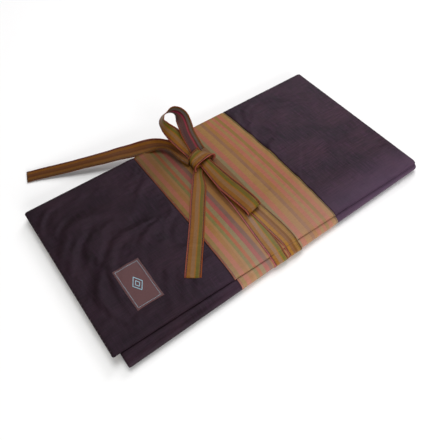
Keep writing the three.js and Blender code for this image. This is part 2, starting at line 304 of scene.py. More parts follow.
REVERSE_STRIPES = [  # the under side of the ribbon
    (0.9, RUST), (1.0, BURGUNDY), (6.2, DEEP_PLUM), (1.6, MAGENTA), (1.6, BURGUNDY), (2.2, SLATE),
    (1.5, DARK_GREEN), (0.9, RUST),
]


def stripe_ramp(finish, across, stripes, depth):
    """Colour of striped cloth at a distance across it."""
    total, place, stops = sum(width for width, _ in stripes), 0.0, []
    for width, code in stripes:
        stops.append((place / total, dye(code, depth)))
        place += width
    ramp = {"interpolation": "CONSTANT", "stops": stops}
    return finish.node("ValToRGB", ramp, {"Fac": across / total})


BAND_DEPTH = (0.84, 0.74, 0.62)
# painted shade: the bow's ribbon is given darker values than the same tie cloth in the passes, which use
# BAND_DEPTH
RIBBON_SHADED_DEPTH = (0.64, 0.50, 0.27)
# painted shade: the left tail, lying at the back left, is darker still
TAIL_SHADED_DEPTH = (0.40, 0.27, 0.13)
REVERSE_DEPTH = (0.5, 0.42, 0.5)


def silk_threads(finish, across, along):
    """Height of plain-woven silk: fine threads both ways, with a thicker slub here and there."""
    warp = finish.noise(across * 2.6, along * 0.06, detail=1.0)
    weft = finish.noise(across * 0.09, along * 2.2, detail=1.0, third=5.0)
    slub = finish.noise(across * 0.05, along * 0.9, detail=0.0, third=11.0)
    return warp * 0.6 + weft * 0.8 + (slub > 0.66) * 0.35


def dark_silk():
    """Almost black aubergine taffeta with slubs; painted shade to the left, painted purple-grey sheen in
    front.
    """
    finish = Finish("dark_silk")
    across, along = finish.cloth_place()
    cloud = finish.noise(across * 0.022, along * 0.028, detail=3.0)
    warp = finish.noise(across * 0.7, along * 0.05, detail=3.0, third=3.0, rough=0.65)
    weft = finish.noise(across * 0.05, along * 0.8, detail=3.0, third=13.0, rough=0.65)
    colour = finish.mix(cloud.fade(0.36, 0.66), dye("38232a"), dye("0f0606"))
    colour = finish.mix(warp.fade(0.66, 0.4) * 0.75, colour, dye("40283a"))
    colour = finish.mix(weft.fade(0.36, 0.6) * 0.7, colour, dye("0c0505"))
    # painted shade: the silk is darkened towards the case's left, where less light falls
    colour = finish.mix(across.fade(60, 330) * 0.62, colour, dye("0f0604"))
    # painted sheen: a purple-grey highlight near the front edge, strongest towards the right
    colour = finish.mix(along.fade(-8, 42) * across.fade(330, 90) * 0.5, colour, dye("5e4a60"))
    threads = silk_threads(finish, across, along)
    roughness = 0.34 + cloud * 0.1 + warp * 0.16 + weft * 0.14
    return finish.close(colour, roughness, threads, 0.00016, Specular_IOR_Level=0.16,
                        Specular_Tint=(0.9, 0.72, 1.0, 1))


def striped_silk(name, stripes, depth, reverse=None, painted_light_and_shade=False, gloss=0.26):
    """Warp-striped silk: stripes across the cloth's own map, each thread a little lighter or darker.

    A painted sheen can haze it towards the case's front edge, and painted shade deepen it at the back left.
    """
    finish = Finish(name)
    across, along = finish.cloth_place()
    wander = finish.noise(across * 0.9, along * 0.35, detail=2.0, third=9.0) - 0.5
    ravel = finish.noise(across * 3.0, along * 2.4, detail=0.0, third=2.0) - 0.5
    colour = stripe_ramp(finish, across + wander * 0.5 + ravel * 1.3, stripes, depth)
    if reverse:
        other = stripe_ramp(finish, across - 2 * RIBBON_WIDTH + wander * 0.5, reverse, REVERSE_DEPTH)
        colour = finish.mix(across > 1.5 * RIBBON_WIDTH, colour, other)
    streak = finish.noise(across * 2.2, along * 0.03, detail=2.0, third=4.0)
    fleck = finish.noise(across * 1.9, along * 0.22, detail=2.0, third=7.0)
    weft = finish.noise(across * 0.12, along * 1.8, detail=2.0, third=6.0)
    colour = finish.mix(streak.fade(0.62, 0.4) * 0.2, colour, dye("b07c30", depth))
    colour = finish.mix(fleck.fade(0.66, 0.5) * 0.22, colour, dye("6b3f12", depth))
    colour = finish.mix(weft.fade(0.38, 0.62) * 0.2, colour, dye("3a240f", depth))
    if painted_light_and_shade:
        # painted sheen: a pale haze towards the case's front edge
        colour = finish.mix(along.fade(-4, 70) * 0.19, colour, dye("c8a596"))
        # painted shade: the band is deepened towards its back left
        colour = finish.mix(along.fade(190, 50) * across.fade(25, 95) * 0.62, colour, dye("3f2104"))
    threads = silk_threads(finish, across, along)
    roughness = 0.42 + streak * 0.2
    return finish.close(colour, roughness, threads, 0.00014, Sheen_Weight=0.06, Sheen_Roughness=0.4,
                        Sheen_Tint=(1.0, 0.92, 0.78, 1), Specular_IOR_Level=gloss)


def plain_silk(name, shade, deep, tint):
    """Unstriped lining or pocket silk, shot with a deeper thread."""
    finish = Finish(name)
    across, along = finish.cloth_place()
    shot = finish.noise(across * 1.2, along * 0.05, detail=2.0)
    cloud = finish.noise(across * 0.02, along * 0.03, detail=2.0, third=8.0)
    colour = finish.mix(shot * 0.55, dye(shade), dye(deep))
    colour = finish.mix(cloud * 0.4, colour, dye(deep))
    threads = silk_threads(finish, across, along)
    return finish.close(colour, 0.42 + shot * 0.16, threads, 0.00012, Sheen_Weight=0.3,
                        Sheen_Roughness=0.4, Sheen_Tint=tint, Specular_IOR_Level=0.5)


def label_cloth():
    """Close maroon ground of a woven label."""
    finish = Finish("label_cloth")
    across, along = finish.cloth_place()
    rib = (across * 1.6).math("SINE", across * 9.0) * 0.5 + 0.5
    fleck = finish.noise(across * 1.4, along * 1.4, detail=3.0)
    colour = finish.mix(fleck * 0.8, dye("562a2c"), dye("34191c"))
    return finish.close(colour, 0.62 + fleck * 0.15, rib * 0.5 + fleck, 0.00015, Sheen_Weight=0.2,
                        Sheen_Roughness=0.5)


def thread_finish(name, shade, deep):
    """Twisted sewing thread: light and dark along the twist."""
    finish = Finish(name)
    place = finish.node("TexCoord", None, None, 3)
    twist = finish.node("TexNoise", None, {"Vector": place, "Scale": 2600.0, "Detail": 1.0})
    colour = finish.mix(twist.fade(0.35, 0.65), dye(shade), dye(deep))
    return finish.close(colour, 0.4 + twist * 0.25, twist, 0.00006, Sheen_Weight=0.3,
                        Sheen_Roughness=0.5)


def floor_finish():
    """Pale matt paper with the faintest tooth."""
    finish = Finish("floor_paper")
    place = finish.node("TexCoord", None, None, 3)
    tooth = finish.node("TexNoise", None, {"Vector": place, "Scale": 900.0, "Detail": 2.0})
    colour = finish.mix(tooth, (0.91, 0.91, 0.905, 1), (0.94, 0.94, 0.935, 1))
    return finish.close(colour, 0.85 + tooth * 0.05, tooth, 0.00002)


# ---- Mesh helpers -------------------------------------------------------------------------------


def add_mesh(name, points, faces, material):
    """Smooth mesh from points in case millimetres and faces of equal size."""
    mesh = bpy.data.meshes.new(name)
    mesh.from_pydata(to_row(points).tolist(), [], faces.tolist())
    mesh.polygons.foreach_set("use_smooth", np.ones(len(faces), bool))
    mesh.materials.append(material)
    piece = bpy.data.objects.new(name, mesh)
    bpy.context.collection.objects.link(piece)
    return piece


def add_grid(name, points, material, across=None, along=None, around=False, thick=0.0, flip=False):
    """Mesh over a grid of points (rows, columns, xyz) in case millimetres.

    Each quad joins a point to its next in the row and in the column; around also joins the last
    column to the first. across and along give the cloth's own map in millimetres. thick adds
    cloth thickness inwards.
    """
    rows, columns = points.shape[:2]
    index = np.arange(rows * columns).reshape(rows, columns)
    following = np.roll(index, -1, axis=1) if around else index[:, 1:]
    this = index if around else index[:, :-1]
    faces = np.stack([this[:-1], following[:-1], following[1:], this[1:]], -1).reshape(-1, 4)
    if flip:
        faces = faces[:, ::-1]
    piece = add_mesh(name, points.reshape(-1, 3), faces, material)
    if across is not None:
        layer = piece.data.uv_layers.new(name="cloth")
        flat = np.stack([across, along], -1).reshape(-1, 2) / MAP_UNIT
        layer.data.foreach_set("uv", flat[faces.ravel()].astype(np.float32).ravel())
    if around:
        weld(piece.data)
    if thick:
        wall = piece.modifiers.new("cloth_thickness", "SOLIDIFY")
        wall.thickness, wall.offset, wall.use_even_offset = thick * MM, -1, False
    return piece


def weld(mesh):
    """Merges points that lie on each other, which closes folded ends and poles."""
    shape = bmesh.new()
    shape.from_mesh(mesh)
    bmesh.ops.remove_doubles(shape, verts=shape.verts, dist=WELD)
    shape.to_mesh(mesh)
    shape.free()


def smooth_step(value, start, end):
    """0 before start, 1 after end, eased between."""
    share = np.clip((value - start) / (end - start), 0, 1)
    return share * share * (3 - 2 * share)


def edge_round(distance, depth):
    """Quarter round: 0 at an edge, rising to 1 at depth inside it."""
    inside = np.clip(distance / depth, 0, 1)
    return np.sqrt(1 - (1 - inside) ** 2)


def unit(vectors):
    """Vectors of length one."""
    return vectors / np.maximum(np.linalg.norm(vectors, axis=-1, keepdims=True), 1e-9)


def run_along(line):
    """Distance run at every point of a line."""
    return np.concatenate([[0], np.cumsum(np.linalg.norm(np.diff(line, axis=0), axis=1))])


def picked(spots, places, values):
    """Rows of values, straight between their places, at some spots."""
    return np.stack([np.interp(spots, places, column) for column in np.transpose(values)], -1)


def straight_up(centres):
    """The upward direction, once for each centre."""
    return np.tile([0.0, 0, 1], (len(centres), 1))


def curve_through(points, spacing):
    """Even steps along the smooth curve through given points.

    Each stretch between two points is a cubic whose end slopes come from the neighbouring points,
    weighted by the square roots of the distances between them.
    """
    knots = np.array(points, float)
    padded = np.vstack([2 * knots[0] - knots[1], knots, 2 * knots[-1] - knots[-2]])
    gaps = np.sqrt(np.linalg.norm(np.diff(padded, axis=0), axis=1))
    share = np.linspace(0, 1, 60)[:, None]
    stretches = []
    for i in range(1, len(padded) - 2):
        before, here, after = gaps[i - 1], gaps[i], gaps[i + 1]
        p0, p1, p2, p3 = padded[i - 1:i + 3]
        leave = ((p1 - p0) / before - (p2 - p0) / (before + here) + (p2 - p1) / here) * here
        arrive = ((p2 - p1) / here - (p3 - p1) / (here + after) + (p3 - p2) / after) * here
        square, cube = share ** 2, share ** 3
        stretches.append(p1 * (2 * cube - 3 * square + 1) + leave * (cube - 2 * square + share)
                         + p2 * (3 * square - 2 * cube) + arrive * (cube - square))
    dense = np.vstack(stretches)
    dense = dense[np.concatenate([[True], np.linalg.norm(np.diff(dense, axis=0), axis=1) > 1e-6])]
    run = run_along(dense)
    return picked(np.linspace(0, run[-1], max(2, int(run[-1] / spacing) + 1)), run, dense)


def add_stitches(name, centres, along, out, length, width, material):
    """Row of thread stitches: each a small six-sided lozenge, pinched at both ends.

    centres, along and out are arrays of points, thread directions and surface normals.
    """
    along = unit(along)
    side = unit(np.cross(out, along))
    out = unit(np.cross(along, side))
    angles = np.arange(6) * math.pi / 3
    rings = []
    for place, girth in ((-0.5, 0.25), (-0.2, 1.0), (0.2, 1.0), (0.5, 0.25)):
        for angle in angles:
            reach = side * math.cos(angle) + out * (math.sin(angle) * 0.75)
            rings.append(centres + along * (place * length) + reach * (girth * width / 2))
    points = np.stack(rings, 1)
    around = [[r * 6 + i, r * 6 + (i + 1) % 6, (r + 1) * 6 + (i + 1) % 6, (r + 1) * 6 + i]
              for r in range(3) for i in range(6)]
    caps = [[3, 2, 1, 0], [5, 4, 3, 0], [18, 19, 20, 21], [18, 21, 22, 23]]
    faces = np.array(around + caps)
    offsets = (np.arange(len(centres)) * 24)[:, None, None]
    return add_mesh(name, points.reshape(-1, 3), (faces[None] + offsets).reshape(-1, 4), material)


# ---- The cover's surface ------------------------------------------------------------------------

CREASES = [  # soft folds in the dark silk: x, y, direction in degrees, length, width, height
    (62, 108, 34, 34, 6.5, 1.0), (104, 130, 24, 30, 7.5, -0.9), (88, 96, 40, 26, 5.0, 0.7),
    (118, 92, 52, 20, 4.5, -0.8), (40, 158, 18, 26, 9.0, 0.6), (72, 176, -12, 30, 8.0, -0.6),
    (28, 122, 58, 22, 6.0, -0.5), (122, 160, 28, 26, 6.5, 0.7), (96, 52, 32, 26, 6.0, 0.5),
    (22, 70, 70, 26, 6.5, 0.5), (122, 40, 20, 20, 5.0, -0.45), (16, 190, 40, 18, 5.0, 0.5),
    (310, 182, 12, 26, 9.0, 0.25), (330, 120, -24, 46, 15.0, 0.4), (372, 70, 60, 34, 12.0, -0.25),
    (352, 34, 8, 40, 10.0, 0.3), (300, 60, 82, 40, 11.0, -0.2), (290, 196, 50, 14, 6.0, -0.25),
]
CREASE_DEPTH = 2.3
VALLEY_SHARE = 0.55  # the wadding holds the valleys up
SIM_STEP = 4.0
SIM_FRAMES = 20
SIM_CAP = 2.0


def creases(x, y):
    """Sum of soft ridges: each a bell across its line and a wider bell along it."""
    total = np.zeros_like(x, float)
    for place_x, place_y, degrees, length, width, height in CREASES:
        cos, sin = math.cos(math.radians(degrees)), math.sin(math.radians(degrees))
        run = (x - place_x) * cos + (y - place_y) * sin
        off = (y - place_y) * cos - (x - place_x) * sin + 0.012 * run * run
        total += CREASE_DEPTH * height * np.exp(-((off / width) ** 2) - (run / length) ** 2)
    return total


def relax_cover():
    """Cloth simulation of the cover's silk: a sheet a little larger than its frame, held at its
    border and at the band's two seams, buckles over the creases. Returns its heights on a grid."""
    xs = np.linspace(0, LENGTH, int(LENGTH / SIM_STEP) + 1)
    ys = np.linspace(0, WIDTH, int(WIDTH / SIM_STEP) + 1)
    grid_x, grid_y = np.meshgrid(xs, ys, indexing="ij")
    start = creases(grid_x, grid_y)
    sheet = add_grid("simulated_sheet", np.stack([grid_x, grid_y, start], -1), None)
    held = sheet.vertex_groups.new(name="held")
    border = np.minimum.reduce([grid_x, LENGTH - grid_x, grid_y, WIDTH - grid_y]) < 1
    seams = np.minimum(np.abs(grid_x - BAND_LEFT), np.abs(grid_x - BAND_RIGHT)) < SIM_STEP / 2 + 0.1
    held.add(np.flatnonzero(border | seams).tolist(), 1.0, "REPLACE")
    cloth = sheet.modifiers.new("cloth", "CLOTH")
    settings = cloth.settings
    settings.vertex_group_mass = "held"
    settings.shrink_min = -0.012
    settings.quality = 6
    settings.mass = 0.05
    settings.tension_stiffness = settings.compression_stiffness = 12
    settings.shear_stiffness, settings.bending_stiffness = 4, 0.06
    settings.air_damping = 2
    settings.effector_weights.gravity = 0
    scene = bpy.context.scene
    for number in range(1, SIM_FRAMES + 1):
        scene.frame_set(number)
    shaped = sheet.evaluated_get(bpy.context.evaluated_depsgraph_get())
    flat = np.zeros(grid_x.size * 3, np.float32)
    shaped.data.vertices.foreach_get("co", flat)
    heights = flat.reshape(-1, 3)[:, 2].reshape(grid_x.shape) / MM
    scene.frame_set(1)
    mesh = sheet.data
    bpy.data.objects.remove(sheet)
    bpy.data.meshes.remove(mesh)
    return xs, ys, np.clip(heights, -SIM_CAP, SIM_CAP)


def sampled(field, x, y):
    """Straight interpolation of a gridded field at x and y."""
    xs, ys, values = field
    column = np.clip((x - xs[0]) / (xs[1] - xs[0]), 0, len(xs) - 1.001)
    row = np.clip((y - ys[0]) / (ys[1] - ys[0]), 0, len(ys) - 1.001)
    i, j = column.astype(int), row.astype(int)
    a, b = column - i, row - j
    low_side = values[i, j] * (1 - a) + values[i + 1, j] * a
    high_side = values[i, j + 1] * (1 - a) + values[i + 1, j + 1] * a
    return low_side * (1 - b) + high_side * b


def cover_rise(x, y):
    """How far the cover's silk stands above its flat place: the relaxed creases, quiet under the tie."""
    on_band = smooth_step(x, BAND_LEFT - 6, BAND_LEFT + 8)
    on_band = on_band * (1 - smooth_step(x, BAND_RIGHT - 6, BAND_RIGHT + 6))
    calm = 1 - 0.85 * on_band
    edges = smooth_step(y, 2, 16) * (1 - smooth_step(y, WIDTH - 22, WIDTH - 6))
    ends = smooth_step(x, 1, 12) * (1 - smooth_step(x, LENGTH - 12, LENGTH - 1))
    rise = sampled(COVER_FIELD, x, y) * (1 - 0.4 * smooth_step(x, BAND_RIGHT, BAND_RIGHT + 20))
    return np.where(rise < 0, VALLEY_SHARE * rise, rise) * calm * edges * ends - 0.25


def seam_groove(x, y):
    """Shallow valley where the band is sewn to the dark silk."""
    depth = 0
    for seam in (left_seam(y), right_seam(y)):
        depth = depth + 0.55 * np.exp(-((x - seam) / 0.9) ** 2)
    return depth


def left_seam(y):
    """Line of the band's left seam over the cover."""
    return BAND_LEFT - 2.2 * np.exp(-np.maximum(y, 0) / 22) * smooth_step(WIDTH - y, 0, 30)


def right_seam(y):
    """Line of the band's right seam, which bows outwards over the cover."""
    return BAND_RIGHT + 4.0 * np.sin(math.pi * np.clip(y / WIDTH, 0, 1)) ** 0.8


def cover_top(x, y):
    """Height of the cover's finished outer face, with its rolled front edge."""
    roll = COVER_THICK / 2 * (1 - edge_round(y, EDGE_ROLL))
    return TOP + cover_rise(x, y) - seam_groove(x, y) - roll


# ---- Leaves: outer cloth and lining over wadding ------------------------------------------------


class Leaf:
    """One folding leaf with half of each fold it joins.

    line(run, x) gives the outer face's y and z at a distance along the section, and the y and z of
    the way it faces; thick(run) the leaf's thickness there; left(run) where its left end lies;
    rise(run, x) how far the outer face stands proud. free_start and free_end are the depths over
    which a sewn edge is rounded, or None where the leaf goes on into a fold.
    """

    def __init__(self, runs, line, thick, left, free_start=None, free_end=None, rise=None):
        self.runs, self.line, self.thick, self.left = np.asarray(runs, float), line, thick, left
        self.free_start, self.free_end, self.rise = free_start, free_end, rise

    def fullness(self, run, x, left):
        """How full the leaf is: 0 at a sewn edge, rising in a quarter round to 1 inside."""
        full = edge_round(x - left, END_ROLL) * edge_round(LENGTH - x, END_ROLL)
        if self.free_start:
            full = full * edge_round(run - self.runs[0], self.free_start)
        if self.free_end:
            full = full * edge_round(self.runs[-1] - run, self.free_end)
        return full

    def turned(self, run, x):
        """Points of the outer cloth: where it runs past a sewn edge, it lies turned in on the
        inner face, as far in as it ran past."""
        left, first, last = self.left(run), self.runs[0], self.runs[-1]
        back_run = first + np.abs(run - first) if self.free_start else run
        back_run = last - np.abs(last - back_run) if self.free_end else back_run
        back_x = LENGTH - np.abs(LENGTH - (left + np.abs(x - left)))
        under = (x < left) | (x > LENGTH) | (np.abs(back_run - run) > 1e-9)
        outer, inner = self.surface(back_run, back_x, False), self.surface(back_run, back_x, True)
        return np.where(under[..., None], inner, outer)

    def surface(self, run, x, inner):
        """Points of the outer or inner face: the section line moved in by half the thickness,
        less or more the fullness, so both faces meet at a sewn edge."""
        y, z, out_y, out_z = self.line(run, x)
        full = self.fullness(run, x, self.left(run))
        depth = self.thick(run) / 2 * ((1 + full) if inner else (1 - full))
        if self.rise is not None and not inner:
            depth = depth - self.rise(run, x)
        return np.stack([x, y - out_y * depth, z - out_z * depth], -1)


def cover_line(run, x):
    """Flat from the front edge, then a quarter round down to the middle of the back fold."""
    turn = np.clip((run - FLAT_END) / BACK_ROUND, 0, math.pi / 2)
    y = np.minimum(run, FLAT_END) + BACK_ROUND * np.sin(turn)
    return y, TOP - BACK_ROUND * (1 - np.cos(turn)), np.sin(turn), np.cos(turn)


def back_leaf_line(run, x):
    """From the middle of the back fold a quarter round down, then flat along the table."""
    turn = np.clip(run / BACK_ROUND, 0, math.pi / 2)
    lying = np.maximum(run - FOLD_ARC, 0)
    end = FLAT_END - (fold_y(x) + LYING)
    y = WIDTH - BACK_ROUND * (1 - np.cos(turn)) - lying / LEAF_LYING * end
    return y, BACK_ROUND * (1 - np.sin(turn)), np.cos(turn), -np.sin(turn)


def front_strip_line(run, x):
    """From the table up a quarter ellipse to the middle of the slanted front fold."""
    turn = np.clip(run / STRIP_RUN, 0, 1) * (1 + STRIP_FLAT) - STRIP_FLAT
    arc = np.clip(turn, 0, 1) * math.pi / 2
    flat = LYING - FRONT_MID
    y = fold_y(x) + FRONT_MID * (1 - np.sin(arc)) + flat * np.clip(-turn / STRIP_FLAT, 0, 1)
    return y, FRONT_MID * (1 - np.cos(arc)), -np.sin(arc), -np.cos(arc)


def flap_line(run, x):
    """From the middle of the front fold up a quarter ellipse, then flat to the flap's free edge."""
    arc = np.clip(run / FLAP_ARC, 0, 1) * math.pi / 2
    lying = np.clip((run - FLAP_ARC) / (FLAP_RUN - FLAP_ARC), 0, 1)
    start = fold_y(x) + FLAP_NOSE
    y = fold_y(x) + FLAP_NOSE * (1 - np.cos(arc)) + lying * (FLAP_REACH - start)
    out = unit(np.stack([-FRONT_MID * np.cos(arc), FLAP_NOSE * np.sin(arc)], -1))
    return y, FRONT_MID * (1 + np.sin(arc)), out[..., 0], out[..., 1]


def easing(first, second, length):
    """Thickness that eases from one value to another over the first part of a run."""
    return lambda run: first + (second - first) * smooth_step(run, 0, length)


def stepped_runs(*spans):
    """Run values: each span is (start, end, step), and ends shared by two spans come once."""
    values = [np.linspace(a, b, int(round((b - a) / step)) + 1) for a, b, step in spans]
    return np.unique(np.round(np.concatenate(values), 6))


FOLD_STEP = 0.8
FOLD_ARC = BACK_ROUND * math.pi / 2  # a quarter round of the back fold
LEAF_LYING = 200.0  # run of the back leaf on the table
STRIP_RUN, STRIP_FLAT = 15.0, 0.6  # front strip: its run, and its flat part to each part of arc
FLAP_ARC, FLAP_EDGE, FLAP_RUN = 12.0, 104.0, 108.0  # its fold, where its free edge starts, its end
FLAP_NOSE = 9.0  # the inner flap's fold is drawn out to this depth
COVER_RUNS = stepped_runs((0, EDGE_ROLL + 1, 0.7), (EDGE_ROLL + 1, FLAT_END, 2.0),
                          (FLAT_END, FLAT_END + FOLD_ARC, FOLD_STEP))
BACK_LEAF_RUNS = stepped_runs((0, FOLD_ARC, FOLD_STEP), (FOLD_ARC, FOLD_ARC + LEAF_LYING, 4.0))
FRONT_STRIP_RUNS = stepped_runs((0, STRIP_RUN, FOLD_STEP))
FLAP_RUNS = stepped_runs((0, FLAP_ARC, FOLD_STEP), (FLAP_ARC, FLAP_EDGE, 3.0), (FLAP_EDGE, FLAP_RUN, 0.6))


def cover_left(run):
    """The cover's left end, which leans in down the back fold to the lower leaves' end."""
    drop = 1 - np.cos(np.clip((run - FLAT_END) / BACK_ROUND, 0, math.pi / 2))
    return LEFT_RECESS / 2 * drop


def leaf_left(run):
    """The back leaf's left end, which leans out up the back fold."""
    return LEFT_RECESS / 2 * (1 + np.sin(np.clip(run / BACK_ROUND, 0, math.pi / 2)))


def recessed_left(run):
    """Left end of the leaves that stop short of the cover."""
    return LEFT_RECESS + 0 * run


def cover_lift(run, x):
    """What the cover's face stands proud by, on its flat part only."""
    flat = 1 - smooth_step(run, FLAT_END - 3, FLAT_END)
    y = np.minimum(run, WIDTH)
    return cover_rise(x, y) * flat - seam_groove(x, y)


def channel_lift(run, x):
    """The two passes of the tie lie pressed into the leaf's under side."""
    lying = smooth_step(run, BACK_ROUND * 1.2, BACK_ROUND * 1.7)
    depth = 0
    for node in ("tie_under_a", "tie_under_b"):
        middle = (low(node)[0] + high(node)[0]) / 2
        depth = depth + smooth_step(RIBBON_WIDTH / 2 + 3 - np.abs(x - middle), 0, 2.2)
    return -1.1 * depth * lying


def make_leaves():
    """The four leaves; each is a padded cloth of three outer panels and one lining."""
    return {
        "cover": Leaf(COVER_RUNS, cover_line, lambda run: COVER_THICK, cover_left,
                      free_start=EDGE_ROLL, rise=cover_lift),
        "back_leaf": Leaf(BACK_LEAF_RUNS, back_leaf_line, easing(COVER_THICK, LEAF_TOP, 30),
                          leaf_left, rise=channel_lift),
        "front_strip": Leaf(FRONT_STRIP_RUNS, front_strip_line,
                            easing(LEAF_TOP, FLAP_THICK, STRIP_RUN), recessed_left),
        "inner_flap": Leaf(FLAP_RUNS, flap_line, lambda run: FLAP_THICK, recessed_left,
                           free_end=3.0),
    }


OUTER_SILK = 0.5
LINING_SILK = 0.7
TURN_IN = 3.4  # the outer cloth is turned in this far round a sewn edge
LINING_INSET = 2.6
LEAF_STEP = {"cover": 2.0, "back_leaf": 4.0, "front_strip": 2.5, "inner_flap": 3.0}
MAP_START = {"cover": 0, "back_leaf": 230, "front_strip": -40, "inner_flap": -24}  # on the cloth's map
CORNERS = [(0.0, 2.5), (1.0, 6.5)]  # (end of the cover, corner radius) at the front edge


def ends_step(start, end, step, rolled_start, rolled_end):
    """Shares from 0 to 1 across a panel, closer together where its end is rolled."""
    even = np.linspace(0, 1, max(4, int((end - start) / step)) + 1)
    fine = np.array([-TURN_IN, -2.2, -1.2, -0.5, -0.15, 0.15, 0.45, 0.9, 1.5, 2.2, 3.0]) / (end - start)
    shares = np.concatenate([even, fine if rolled_start else [], 1 - fine if rolled_end else []])
    shares = np.unique(np.round(shares, 5))
    return shares[np.concatenate([[True], np.diff(shares) > 2e-4])]


def outer_runs(leaf):
    """Runs of the outer cloth, which is turned in at a free edge."""
    turn = np.array([TURN_IN, 2.2, 1.2, 0.5, 0.15])
    before = leaf.runs[0] - turn if leaf.free_start else []
    after = leaf.runs[-1] + turn[::-1] if leaf.free_end else []
    return np.concatenate([before, leaf.runs, after])


def outer_panel(name, part, leaf, material):
    """One panel of a leaf's outer cloth, from its seam or end to the next."""
    order = ("left", "band", "right").index(part)
    nominal = (0, BAND_LEFT, BAND_RIGHT, LENGTH)[order:order + 2]
    shares = ends_step(*nominal, LEAF_STEP[name], part == "left", part == "right")
    run, share = np.meshgrid(outer_runs(leaf), shares, indexing="ij")
    seams = (BAND_LEFT + 0 * run, BAND_RIGHT + 0 * run)
    if name == "cover":
        y = np.minimum(run, WIDTH)
        seams = (left_seam(y), right_seam(y))
    start, end = (leaf.left(run), *seams, LENGTH + 0 * run)[order:order + 2]
    x = start + (end - start) * share
    points = leaf.turned(run, x)
    if name == "cover":
        points = rounded_corners(points)
    across = share * (BAND_RIGHT - BAND_LEFT) if part == "band" else x
    return add_grid(f"{name}_silk_{part}", points, material, across, run + MAP_START[name],
                    thick=OUTER_SILK)


def leaf_pieces(name, leaf, materials):
    """Outer panels (left, band, right) and the lining of a leaf."""
    band = materials["band_below" if name == "back_leaf" else "band"]
    cloths = {"left": materials["dark"], "band": band, "right": materials["dark"]}
    pieces = {part: outer_panel(name, part, leaf, cloth) for part, cloth in cloths.items()}
    first = leaf.runs[0] + (LINING_INSET if leaf.free_start else 0)
    last = leaf.runs[-1] - (LINING_INSET if leaf.free_end else 0)
    runs = np.linspace(first, last, len(leaf.runs))
    run, share = np.meshgrid(runs, np.linspace(0, 1, 101), indexing="ij")
    left = leaf.left(run) + LINING_INSET
    x = left + (LENGTH - LINING_INSET - left) * share
    pieces["lining"] = add_grid(f"{name}_silk_lining", leaf.surface(run, x, inner=True),
                                materials["lining"], x, run, thick=LINING_SILK, flip=True)
    return pieces


def rounded_corners(points):
    """Draws the front corners of the cover in to a round: inside a corner's square each distance
    from the round's centre shrinks by the root of one less half the other's square."""
    shaped = points.copy()
    for end, radius in CORNERS:
        sign = 1 if end else -1
        centre_x = LENGTH * end - sign * radius
        p = np.clip((points[..., 0] - centre_x) * sign / radius, 0, 1)
        q = np.clip((radius - points[..., 1]) / radius, 0, 1)
        inside = (p > 0) & (q > 0)
        drawn_x = centre_x + sign * radius * p * np.sqrt(1 - q * q / 2)
        drawn_y = radius - radius * q * np.sqrt(1 - p * p / 2)
        shaped[..., 0] = np.where(inside, drawn_x, shaped[..., 0])
        shaped[..., 1] = np.where(inside, drawn_y, shaped[..., 1])
    return shaped


MID_X = 200  # bends are measured on the case's middle
BACK_BEND_END = row_spot(MID_X, WIDTH, BACK_ROUND)
TOP_BEND = {"start": row_spot(MID_X, FLAT_END, TOP), "end": BACK_BEND_END}
TABLE_BEND = {"start": row_spot(MID_X, FLAT_END, 0), "end": BACK_BEND_END}


def front_bend(nose, height, end_x=MID_X):
    """Where a piece bends at the front fold, whose nose is at that depth: from that height down
    or up to the fold's middle."""
    return {"start": row_spot(MID_X, nose + FRONT_MID, height), "end": row_spot(end_x, nose, FRONT_MID)}


def add_leaves(materials):
    """Builds every leaf and hides the model's parts it stands for."""
    square_x = MID_X + FOLD_SLOPE * FRONT_MID  # makes the bend square to the slanted fold
    bends = {
        "cover": ("cover", "back_spine", TOP_BEND),
        "back_leaf": ("back_leaf", "back_spine", TABLE_BEND),
        "front_strip": ("back_leaf", "front_spine", front_bend(fold_y(MID_X), 0, square_x)),
        "inner_flap": ("inner_flap", "front_spine", front_bend(fold_y(MID_X), FLAP_TOP, square_x)),
    }
    nodes = {"cover": "cover", "back_leaf": "back_leaf", "front_strip": "front_spine",
             "inner_flap": "inner_flap"}
    for name, leaf in make_leaves().items():
        pieces = leaf_pieces(name, leaf, materials)
        for part, piece in pieces.items():
            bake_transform(piece)
            cloth = part if part == "lining" else f"cloth_{part}"
            stands_for = [nodes[name], "back_spine"] if name == "cover" else [nodes[name]]
            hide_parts(*[f"{node}_{cloth}" for node in stands_for])
            if part == "band":
                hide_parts(*[f"{node}_wadding" for node in stands_for])
            part == "lining"


# ---- Ribbon -------------------------------------------------------------------------------------

SECTION_POINTS = 31
FULL_WIDTH = RIBBON_WIDTH + 1.3  # the soft hems stand out past the plain ribbon
HEM_INSET = 1.65  # stitch line in from the ribbon's edge
HEM_END = 5.0
STITCH_PITCH = 2.3
STITCH_SIZE = (1.5, 0.42)  # length and width of a hem stitch
STEP = 1.5
SIDEWAYS = (1.0, 0, 0)


def ribbon_section():
    """Closed section of a hemmed ribbon: offsets across and out, and the map's distance across.

    Each face is flat with a low rib along both hems and a groove at their stitches, and the
    edges close with a round.
    """
    offset = np.sin(np.linspace(-math.pi / 2, math.pi / 2, SECTION_POINTS)) * RIBBON_WIDTH / 2
    inside = RIBBON_WIDTH / 2 - np.abs(offset)
    rib = 0.16 * np.exp(-((inside - 0.9) / 0.6) ** 2)
    groove = 0.14 * np.exp(-((inside - HEM_INSET) / 0.35) ** 2)
    face = RIBBON / 2 * edge_round(inside, 0.5) + (rib - groove) * (inside > 0.2)
    across = offset + RIBBON_WIDTH / 2
    top = np.stack([offset, face, across], -1)
    under = np.stack([offset, -face, across + 2 * RIBBON_WIDTH], -1)[::-1]
    return np.vstack([top, under])


def ribbon_frame(line, directions):
    """Along, across and out directions at every point of a ribbon's middle line."""
    along = unit(np.gradient(line, axis=0))
    directions = np.broadcast_to(directions, line.shape)
    wide = unit(directions - along * (directions * along).sum(-1, keepdims=True))
    return along, wide, unit(np.cross(wide, along))


def spread_directions(across, count):
    """Width directions listed at even steps, eased along the whole ribbon."""
    listed = unit(np.array(across, float))
    return picked(np.linspace(0, len(listed) - 1, count), np.arange(len(listed)), listed)


